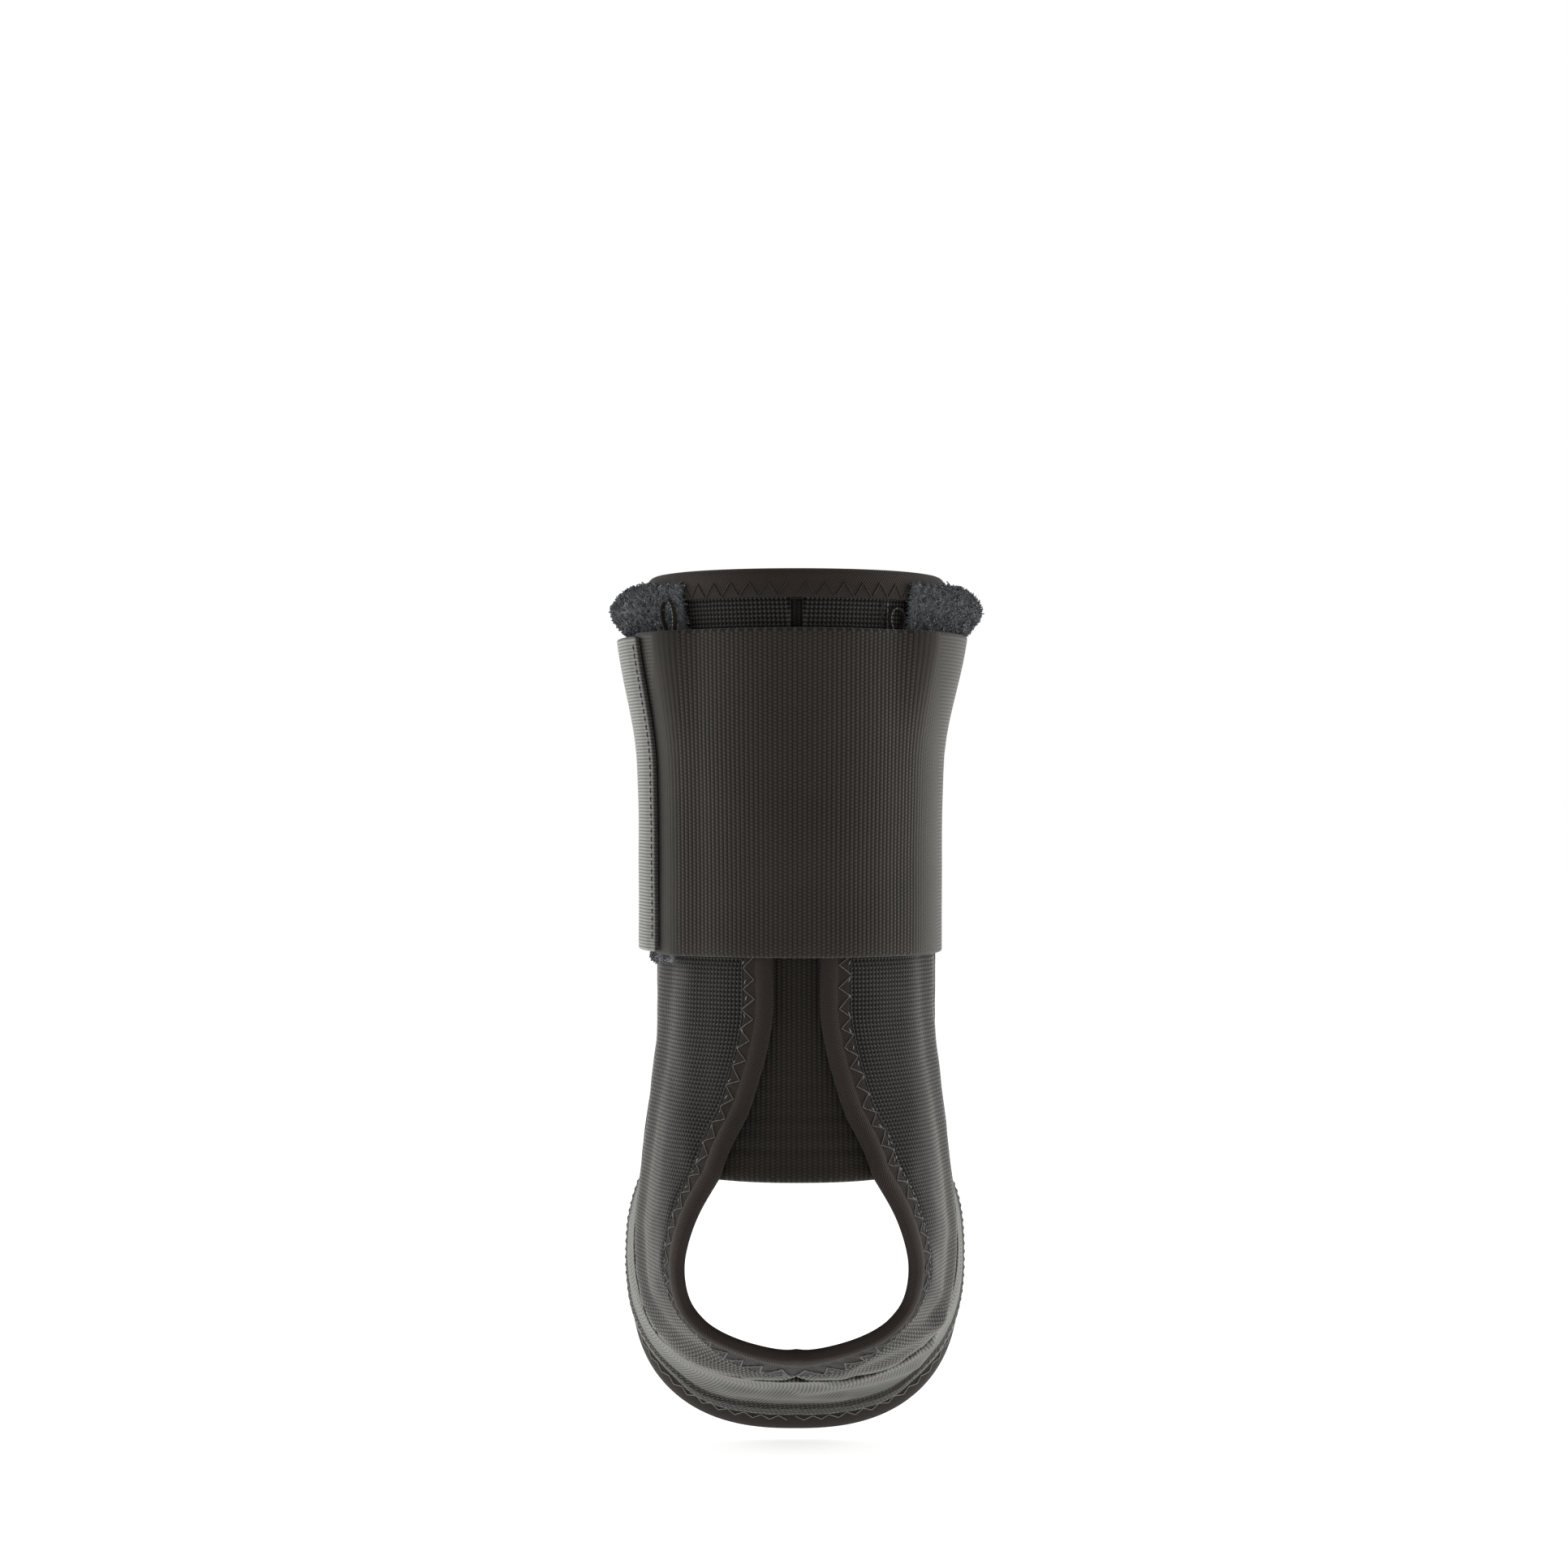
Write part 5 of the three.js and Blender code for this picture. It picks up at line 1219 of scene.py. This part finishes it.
def heel_rings(places):
    """Sections of the heel tape: a roll at the rim, then a puckered leg, wider under the heel."""
    points = hollow(places[:, 0], places[:, 1])
    sole = smooth_step(*SOLE_HEIGHTS, points[:, 2])[:, None]
    middle = SOLE_MIDDLE_LIP * np.exp(-(points[:, :1] / SOLE_MIDDLE_WIDTH) ** 2)
    lip = -BINDING_LIP - LIP_GAP - (SOLE_LIP + middle) * sole
    width = BINDING_WIDTH + SOLE_WIDENING * sole
    roll_width = ROLL_WIDTH - ROLL_SHIFT * SOLE_LIP * sole
    quilted = smooth_step(*QUILTED_SIDE, points[:, 0]) * smooth_step(*QUILTED_DROP, -points[:, 2])
    ripple = np.abs(np.sin(cumulative(points, 0) * math.pi / PUCKER_PITCH)) ** PUCKER_POWER
    pucker = ripple * lerp(PUCKER_CALM, 1, quilted)
    across = lerp(width, lip, np.linspace(0, 1, HEEL_STEPS)[None])
    share = np.clip((across - lip) / (roll_width - lip), 0, 1)
    roll = np.sin(math.pi * lerp(ROLL_START, 1, share)) ** ROLL_POWER
    roll = (ROLL_RISE + uneven(points, HEEL_TAPE_UNEVEN)[:, None]) * roll
    leg = smooth_step(roll_width - LEG_START, roll_width + LEG_FULL, across)
    leg = leg * (pucker * LEG_RISE - LEG_SINK)[:, None]
    edge = -TAPE_EDGE_DROP * smooth_step(width - TAPE_EDGE_RUN, width, across)
    outer = np.stack([across, OVER_PANEL + TAPE - ROLL_SINK + roll + leg + edge], -1)
    lip, width = lip[:, 0], width[:, 0]
    none = 0 * lip
    under = np.stack([np.stack(pair, -1) for pair in (
        (lip - 0.1, none + 1.4), (lip, none + 0.3), (lip + 0.4, none),
        (none - LIP_GAP - 0.1, none + 0.05), (none - LIP_GAP, none + OVER_PANEL),
        (width * 0.5, none + OVER_PANEL), (width - 0.1, none + OVER_PANEL))], 1)
    return band_rings(places, np.concatenate([outer, under], 1), False, -1)


def heel_binding():
    rings = heel_rings(heel_places())
    obj = band_object("heel_opening_tape", rings, materials["tape"], False)
    finish_piece(obj, "heel_opening_binding")
    top = band_top(rings, 0, HEEL_STEPS, False)
    last = top.length[-1] - 2
    legs = zigzag_stitches(top, HEEL_ZIGZAG, start=2, end=last)
    stitch_object("heel_opening_zigzag", *legs, materials["thread_grey"], "binding_tape", HEEL_THREAD, 0.0)
    knots = zigzag_stitches(top, HEEL_KNOTS, start=2.6, end=last)
    stitch_object("heel_opening_knots", *(each[::HEEL_KNOT_EVERY] for each in knots),
                  materials["thread_light"], "binding_tape", HEEL_KNOT_THREAD)
    down = np.linspace(1, top.length[-1] - 1, 600)
    points, normals = top.at(down, 0 * down + 0.1, 0.03)
    stitch_row("heel_opening_line", points, normals, HEEL_LINE, "thread_dark", "binding_tape", 0.0)
    on_right = (points[:, 0] > 18) & (points[:, 2] < 5) & (points[:, 2] > -50)
    points, normals = points[on_right], normals[on_right]
    stitch_row("heel_opening_dots", points + 0.25 * normals, normals, HEEL_DOTS, "thread_light",
               "binding_tape")


def arch_strap():
    course = strap_course()

    def place(u, v):
        return strap_place(course, u, 2 * v - 1)

    def span(u, _v, _along, _angle):
        return STRAP_INNER + 0 * u, STRAP_INNER + STRAP + 0 * u

    def relief(points, u, _v):
        hem = STRAP_HEM_RISE * smooth_step(*STRAP_HEM, u) - groove(u, *STRAP_GROOVE)
        between = smooth_step(*STRAP_FOLD_REAR, u) * smooth_step(*STRAP_FOLD_FRONT, u)
        return hem + fold_rise(points, SOLE_FOLDS, False) * between + uneven(points, STRAP_UNEVEN)

    cloth = sheet_cloth(STRAP_GRID, place, span, relief)
    obj = cloth_object("arch_strap_cloth", cloth, materials["strap"])
    finish_piece(obj, "arch_strap")
    down = np.linspace(0.02, 0.98, 900) * cloth.length[-1]
    line = cloth.at(down, STRAP_SEAM_SHARE * cloth.width[-1] + 0 * down, 0.03)
    stitch_row("arch_strap_stitches", *line, STRAP_STITCHES, "thread_grey", "strap_nylon")


def pile_fibres(name, source, count, share, seed, above=None):
    """Fibres over the part of a backing that shows; share is of the full fibre length."""
    mesh = source.data.copy()
    obj = bpy.data.objects.new(name, mesh)
    bpy.context.collection.objects.link(obj)
    mesh.calc_loop_triangles()
    centres = np.zeros(len(mesh.polygons) * 3)
    areas = np.zeros(len(mesh.polygons))
    mesh.polygons.foreach_get("center", centres)
    mesh.polygons.foreach_get("area", areas)
    centres = centres.reshape(-1, 3)
    keep = np.ones(len(areas), bool)
    if above is not None:
        keep &= centres[:, 2] > above * MM
    work = bmesh.new()
    work.from_mesh(mesh)
    work.faces.ensure_lookup_table()
    bmesh.ops.delete(work, geom=[work.faces[k] for k in np.nonzero(~keep)[0]], context="FACES")
    work.to_mesh(mesh)
    work.free()
    density = count / max(areas[keep].sum(), 1e-9)
    settings = bpy.context.scene.brace_settings
    apply_tree(obj, bpy.data.node_groups["pile_fibres"], Density=density, Fibre=settings.fibre_length * share,
               Thickness=settings.fibre_thickness, Seed=seed, Material=materials["pile"])
    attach(obj, "root")


def pile_end(name, mirror):
    """Folded-over end of the strap: its closed profile, swept round the leg."""
    rear, front = STRAP_END_ANGLES
    closed = np.array(PILE_END_PROFILE + PILE_END_PROFILE[:1])
    steps = np.hypot(np.diff(closed[:, 0]) * PILE_END_LENGTH, np.diff(closed[:, 2]) * PILE_END_BULGE)
    at = np.concatenate([[0], np.cumsum(steps)])
    profile = spline(closed, at, np.linspace(0, at[-1], PILE_END_SECTION + 1)[:-1])
    share = np.linspace(0, 1, PILE_END_STEPS + 1)[:, None]
    bulge = smooth_step(0, BULGE_RISE, share) * (1 - smooth_step(BULGE_FALL, 1, share))
    height = lerp(STRAP_END_HEIGHT + LAYER_GAP, STRAP_END_TOP, profile[None, :, 0] + 0 * share)
    stand = lerp(profile[None, :, 1], profile[None, :, 2], bulge)
    angle = lerp(rear, front, share) * DEGREE + 0 * height
    rings = stand_off(along_at_height(height), angle, OVER_PANEL + PILE_END_BULGE * stand)
    if mirror:
        rings = rings * (-1, 1, 1)
    centre = rings.mean(1, keepdims=True)
    lump = uneven(rings, PILE_END_UNEVEN) * smooth_step(*LUMP_START, profile[None, :, 0])
    rings = rings + unit(rings - centre) * lump[..., None]
    side = "left" if mirror else "right"
    obj = band_object("pile_end_backing_" + side, rings, materials["pile"], False)
    finish_piece(obj, name)
    pile_fibres("pile_end_fibres_" + side, obj, PILE_END_FIBRES, 1.0, PILE_END_SEED + mirror,
                CUFF_TOP - PILE_TUCK)


def cuff_standoff(height, angle):
    turn = np.abs(angle) / DEGREE
    rear, rear_full, front_full, front = CUFF_SIDE_ANGLES
    on_side = smooth_step(rear, rear_full, turn) * (1 - smooth_step(front_full, front, turn))
    flare = CUFF_FLARE * smooth_step(CUFF_TOP - CUFF_FLARE_START, CUFF_TOP + CUFF_FLARE_END, height)
    over_pile = (PILE_BACKING + LAYER_GAP) * np.where(angle < 0, on_side, 0)
    return (lerp(CUFF_BASE_STANDOFF, CUFF_SIDE_STANDOFF, on_side) + flare * on_side
            + over_pile * (1 - PILE_FADE * flare / CUFF_FLARE))


def tape_loop(name, angle, standoff, rise, lean, width):
    """Folded tape: a rounded rectangle swept round a teardrop."""
    turn = 2 * math.pi * np.arange(LOOP_STEPS) / LOOP_STEPS
    spread = LOOP_SPREAD - LOOP_TAPE
    path = np.stack([spread / 2 * LOOP_DROP * np.sin(turn) * np.sin(turn / 2),
                     lerp(LOOP_TAPE, rise - LOOP_TAPE / 2, (1 - np.cos(turn)) / 2)], -1)
    tangent = unit(np.roll(path, -1, 0) - np.roll(path, 1, 0))
    away = np.stack([tangent[:, 1], -tangent[:, 0]], -1)
    round_it = 2 * math.pi * np.arange(LOOP_SECTION) / LOOP_SECTION
    thick = LOOP_TAPE / 2 * np.sign(np.cos(round_it)) * np.abs(np.cos(round_it)) ** 0.5
    deep = width / 2 * np.sign(np.sin(round_it)) * np.abs(np.sin(round_it)) ** 0.5 + width / 2
    flat = path[:, None] + away[:, None] * thick[None, :, None]
    lean = lean * DEGREE
    x = flat[..., 0] * math.cos(lean) - flat[..., 1] * math.sin(lean)
    y = flat[..., 0] * math.sin(lean) + flat[..., 1] * math.cos(lean)
    along = float(along_at_height(CUFF_TOP - rise * LOOP_SUNK))
    foot, outward = hollow(along, angle * DEGREE), hollow_ways(along, angle * DEGREE)[2]
    outward = unit(outward * (1, 1, 0))
    upward = np.array([0.0, 0.0, 1.0])
    sideways = np.cross(upward, outward)
    rings = (foot + outward * standoff + x[..., None] * sideways + y[..., None] * upward
             + (deep + 0 * x)[..., None] * outward)
    rim = rings[LOOP_RIM_LEFT if angle < 0 else LOOP_RIM_RIGHT, LOOP_RIM_POINT] + outward * LOOP_RIM_LIFT
    stitch_row(name + "_stitches", rim, outward + 0 * rim, LOOP_STITCHES, "thread_light", "loop_tape")
    return finish_piece(band_object(name + "_tape", rings, materials["tape"], True), name)


def elastic_cuff():
    def place(u, v):
        return along_at_height(lerp(CUFF_TOP, CUFF_BOTTOM, v[:, :1])) + 0 * u, lerp(*CUFF_ANGLES, u) * DEGREE

    def span(_u, v, _along, angle):
        turn = np.where(angle > math.pi, angle - 2 * math.pi, angle)
        stand = cuff_standoff(lerp(CUFF_TOP, CUFF_BOTTOM, v), turn)
        return stand, stand + CUFF

    def relief(points, _u, v):
        edge = np.minimum(v, 1 - v) * (CUFF_TOP - CUFF_BOTTOM)
        return uneven(points, CUFF_UNEVEN) - groove(edge, *CUFF_GROOVE)

    cloth = sheet_cloth(CUFF_GRID, place, span, relief, CUFF_CLOSENESS)
    run = cloth.across[cloth.across.shape[0] // 2][None]
    cloth.across = run + 0 * cloth.across
    obj = cloth_object("cuff_knit", cloth, materials["cuff"])
    edge = np.minimum(cloth.down, cloth.down[-1:] - cloth.down)
    on_side = smooth_step(*CUFF_FLAT_SIDE, np.abs(cloth.outer[..., 0]))
    fill_ribs(obj, cloth, run, smooth_step(*CUFF_HEM, edge) * (1 - CUFF_FLAT_SHARE * on_side))
    settings = bpy.context.scene.brace_settings
    apply_tree(obj, bpy.data.node_groups["rib_relief"], Pitch=settings.rib_pitch, Depth=settings.rib_depth)
    loops = [tape_loop(*row) for row in TAPE_LOOPS]
    finish_piece(obj, "elastic_cuff")


def cuff_tab():
    def place(u, v):
        height = lerp(CUFF_TOP - CUFF_TAB_INSET, CUFF_BOTTOM + CUFF_TAB_INSET, v[:, :1])
        return along_at_height(height) + 0 * u, lerp(*CUFF_TAB_ANGLES, u) * DEGREE

    def span(_u, v, _along, angle):
        stand = cuff_standoff(lerp(CUFF_TOP, CUFF_BOTTOM, v), angle) + CUFF + LAYER_GAP
        return stand, stand + CUFF_TAB

    def relief(points, u, _v):
        return uneven(points, CUFF_TAB_UNEVEN) - groove(u, *CUFF_TAB_GROOVE)

    cloth = sheet_cloth(CUFF_TAB_GRID, place, span, relief, 0.0)
    cloth.down = cloth.length[:, None] + 0 * cloth.down
    obj = cloth_object("cuff_tab_knit", cloth, materials["tab"])
    edge = np.minimum(cloth.down, cloth.down[-1:] - cloth.down)
    fill_ribs(obj, cloth, cloth.down, smooth_step(*CUFF_TAB_HEM, edge))
    apply_tree(obj, bpy.data.node_groups["rib_relief"], Pitch=CUFF_TAB_RIB_PITCH * MM,
               Depth=CUFF_TAB_RIB_DEPTH * MM)
    finish_piece(obj, "cuff_tab")
    length, width = cloth.length[-1], cloth.width[-1]
    down = np.linspace(1.5, length - 1.5, 300)
    seam = cloth.at(down, 0 * down + width - CUFF_TAB_SEAM_INSET, 0.02)
    across = np.linspace(*(width - end for end in CUFF_TAB_TACK_ENDS), 40)
    tack = cloth.at(0 * across + length - CUFF_TAB_TACK_INSET, across, 0.02)
    stitch_row("cuff_tab_seam", *seam, CUFF_TAB_SEAM, "thread_dark", "cuff_tab_weave")
    stitch_row("cuff_tab_tack", *tack, CUFF_TAB_TACK, "thread_light", "cuff_tab_weave")


def pile_strip():
    def place(u, v):
        height = CUFF_BOTTOM - PILE_STRIP_DROP + PILE_STRIP_HEIGHT * (1 - v)
        return along_at_height(height), lerp(*PILE_STRIP_ANGLES, u) * DEGREE

    def span(_u, v, _along, angle):
        stand = cuff_standoff(CUFF_BOTTOM, angle) - LAYER_GAP
        return stand - PILE_BACKING, stand + 0 * v

    def relief(points, _u, _v):
        return uneven(points, PILE_STRIP_UNEVEN)

    cloth = sheet_cloth(PILE_STRIP_GRID, place, span, relief)
    obj = cloth_object("pile_strip_backing", cloth, materials["pile"])
    finish_piece(obj, "cuff_pile_strip")
    pile_fibres("pile_strip_fibres", obj, PILE_STRIP_FIBRES, PILE_STRIP_SHARE, PILE_STRIP_SEED)


def area_light(name, location):
    data = bpy.data.lights.new(name, "AREA")
    data.shape, data.energy = "RECTANGLE", LIGHT_POWER
    data.size, data.size_y = LIGHT_SIZE
    light = bpy.data.objects.new(name, data)
    light.location = location
    way = unit(np.array(LIGHT_TARGET, float) - np.array(location, float))
    light.rotation_euler = Vector(way).to_track_quat("-Z", "Y").to_euler()
    bpy.context.collection.objects.link(light)


def make_camera(scene):
    data = bpy.data.cameras.new("camera")
    data.sensor_width, data.lens = SENSOR, SENSOR * CAMERA_DISTANCE / FRAME_WIDTH
    camera = bpy.data.objects.new("camera", data)
    camera.location = (CAMERA_SIDE, -CAMERA_DISTANCE, CAMERA_HEIGHT)
    camera.rotation_euler = (math.pi / 2, 0, 0)
    bpy.context.collection.objects.link(camera)
    scene.camera = camera


def make_world(scene):
    """White where the camera sees it, and dimmer as a light."""
    world = bpy.data.worlds.new("studio")
    world.use_nodes = True
    background = world.node_tree.nodes["Background"]
    background.inputs[0].default_value = (1, 1, 1, 1)
    n = Nodes(world.node_tree)
    seen = n.add("ShaderNodeLightPath").outputs["Is Camera Ray"]
    strength = n.math("MULTIPLY_ADD", seen, 1 - WORLD_LIGHT, WORLD_LIGHT)
    world.node_tree.links.new(strength, background.inputs[1])
    scene.world = world
    scene.view_settings.view_transform = "Standard"


def make_floor():
    bpy.ops.mesh.primitive_circle_add(vertices=96, radius=FLOOR_RADIUS, fill_type="NGON",
                                      location=(0, 0, FLOOR_HEIGHT))
    floor = bpy.context.object
    floor.name = "floor"
    material = bpy.data.materials.new("floor_paper")
    material.use_nodes = True
    shader = material.node_tree.nodes["Principled BSDF"]
    shader.inputs["Base Color"].default_value = (0.9, 0.9, 0.9, 1)
    shader.inputs["Roughness"].default_value = 0.9
    shader.inputs["Emission Color"].default_value = (1, 1, 1, 1)
    shader.inputs["Emission Strength"].default_value = FLOOR_GLOW
    floor.data.materials.append(material)


def make_stage(scene):
    make_camera(scene)
    make_world(scene)
    make_floor()
    side, *rest = LIGHT_PLACE
    area_light("side_left", (-side, *rest))
    area_light("side_right", (side, *rest))


class BraceSettings(bpy.types.PropertyGroup):
    """Sizes of the cloths' detail, and colours of the cloths and threads"""
    weave_pitch: FloatProperty(name="Weave pitch", description="One thread of the nylon weave",
                               default=0.00084, min=0.0002, unit="LENGTH", precision=5)
    rib_pitch: FloatProperty(name="Rib pitch", description="One rib of the elastic cuff",
                             default=0.0013, min=0.0005, unit="LENGTH", precision=5)
    rib_depth: FloatProperty(name="Rib depth", description="Height of the cuff's ribs",
                             default=0.00013, min=0.0, unit="LENGTH", precision=5)
    fibre_length: FloatProperty(name="Fibre length", description="Length of the pile's curled fibres",
                                default=0.0017, min=0.0003, unit="LENGTH", precision=5)
    fibre_thickness: FloatProperty(name="Fibre thickness", description="Thickness of a pile fibre",
                                   default=0.00016, min=0.00005, unit="LENGTH", precision=5)
    nylon: FloatVectorProperty(name="Nylon", description="Side panels", subtype="COLOR", size=3,
                               default=(0.0115, 0.0104, 0.0098))
    # Paler than the nylon, partly as painted bounce light under the arch
    strap: FloatVectorProperty(name="Strap", description="Strap under the arch", subtype="COLOR", size=3,
                               default=(0.0185, 0.0178, 0.016))
    elastic: FloatVectorProperty(name="Elastic", description="Cuff and gore", subtype="COLOR", size=3,
                                 default=(0.0145, 0.0115, 0.0088))
    tab: FloatVectorProperty(name="Tab", description="End tab of the cuff", subtype="COLOR", size=3,
                             default=(0.030, 0.029, 0.026))
    tape: FloatVectorProperty(name="Tape", description="Edge bindings", subtype="COLOR", size=3,
                              default=(0.0225, 0.0175, 0.0145))
    pile: FloatVectorProperty(name="Pile", description="Loop pile", subtype="COLOR", size=3,
                              default=(0.072, 0.078, 0.086))
    thread: FloatVectorProperty(name="Thread", description="Light sewing thread", subtype="COLOR", size=3,
                                default=(0.16, 0.16, 0.15))


class BRACE_OT_materials(bpy.types.Operator):
    """Make the cloth, tape, pile and thread materials and the stitch and pile trees"""
    bl_idname = "brace.materials"
    bl_label = "Materials and trees"

    def execute(self, context):
        materials.update(make_materials(context.scene.brace_settings))
        stitch_tree()
        pile_tree()
        rib_tree()
        return {"FINISHED"}


class BRACE_OT_panels(bpy.types.Operator):
    """Build the two woven side panels and the seam tape at the front"""
    bl_idname = "brace.panels"
    bl_label = "Side panels"

    def execute(self, _context):
        side_panel("side_panel_right", False)
        side_panel("side_panel_left", True)
        front_tape()
        top_seam()
        return {"FINISHED"}


class BRACE_OT_gore(bpy.types.Operator):
    """Build the ribbed gore over the Achilles tendon"""
    bl_idname = "brace.gore"
    bl_label = "Achilles gore"

    def execute(self, _context):
        achilles_gore()
        return {"FINISHED"}


class BRACE_OT_bindings(bpy.types.Operator):
    """Build the bound edges with their zigzag stitching"""
    bl_idname = "brace.bindings"
    bl_label = "Edge bindings"

    def execute(self, _context):
        top_binding()
        distal_binding()
        heel_binding()
        return {"FINISHED"}


class BRACE_OT_strap(bpy.types.Operator):
    """Build the strap under the arch and its pile ends"""
    bl_idname = "brace.strap"
    bl_label = "Arch strap"

    def execute(self, _context):
        arch_strap()
        pile_end("strap_pile_end_right", False)
        pile_end("strap_pile_end_left", True)
        return {"FINISHED"}


class BRACE_OT_cuff(bpy.types.Operator):
    """Build the elastic cuff, its tab, the pile strip and the tape loops"""
    bl_idname = "brace.cuff"
    bl_label = "Elastic cuff"

    def execute(self, _context):
        elastic_cuff()
        cuff_tab()
        pile_strip()
        return {"FINISHED"}


class BRACE_OT_stage(bpy.types.Operator):
    """Set the floor, the soft lights and the camera"""
    bl_idname = "brace.stage"
    bl_label = "Stage"

    def execute(self, context):
        make_stage(context.scene)
        return {"FINISHED"}


STEPS = (BRACE_OT_materials, BRACE_OT_panels, BRACE_OT_gore, BRACE_OT_bindings, BRACE_OT_strap,
         BRACE_OT_cuff, BRACE_OT_stage)


class BRACE_PT_sidebar(bpy.types.Panel):
    """Steps that build the brace"""
    bl_label = "Ankle brace"
    bl_idname = "BRACE_PT_sidebar"
    bl_space_type = "VIEW_3D"
    bl_region_type = "UI"
    bl_category = "Brace"

    def draw(self, _context):
        for step in STEPS:
            self.layout.operator(step.bl_idname)


CLASSES = (BraceSettings, *STEPS, BRACE_PT_sidebar)


def register():
    for item in CLASSES:
        bpy.utils.register_class(item)
    bpy.types.Scene.brace_settings = PointerProperty(type=BraceSettings)


def unregister():
    del bpy.types.Scene.brace_settings
    for item in reversed(CLASSES):
        bpy.utils.unregister_class(item)


def main():
    register()
    for step in STEPS:
        area, name = step.bl_idname.split(".")
        getattr(getattr(bpy.ops, area), name)()


if __name__ == "__main__":
    main()
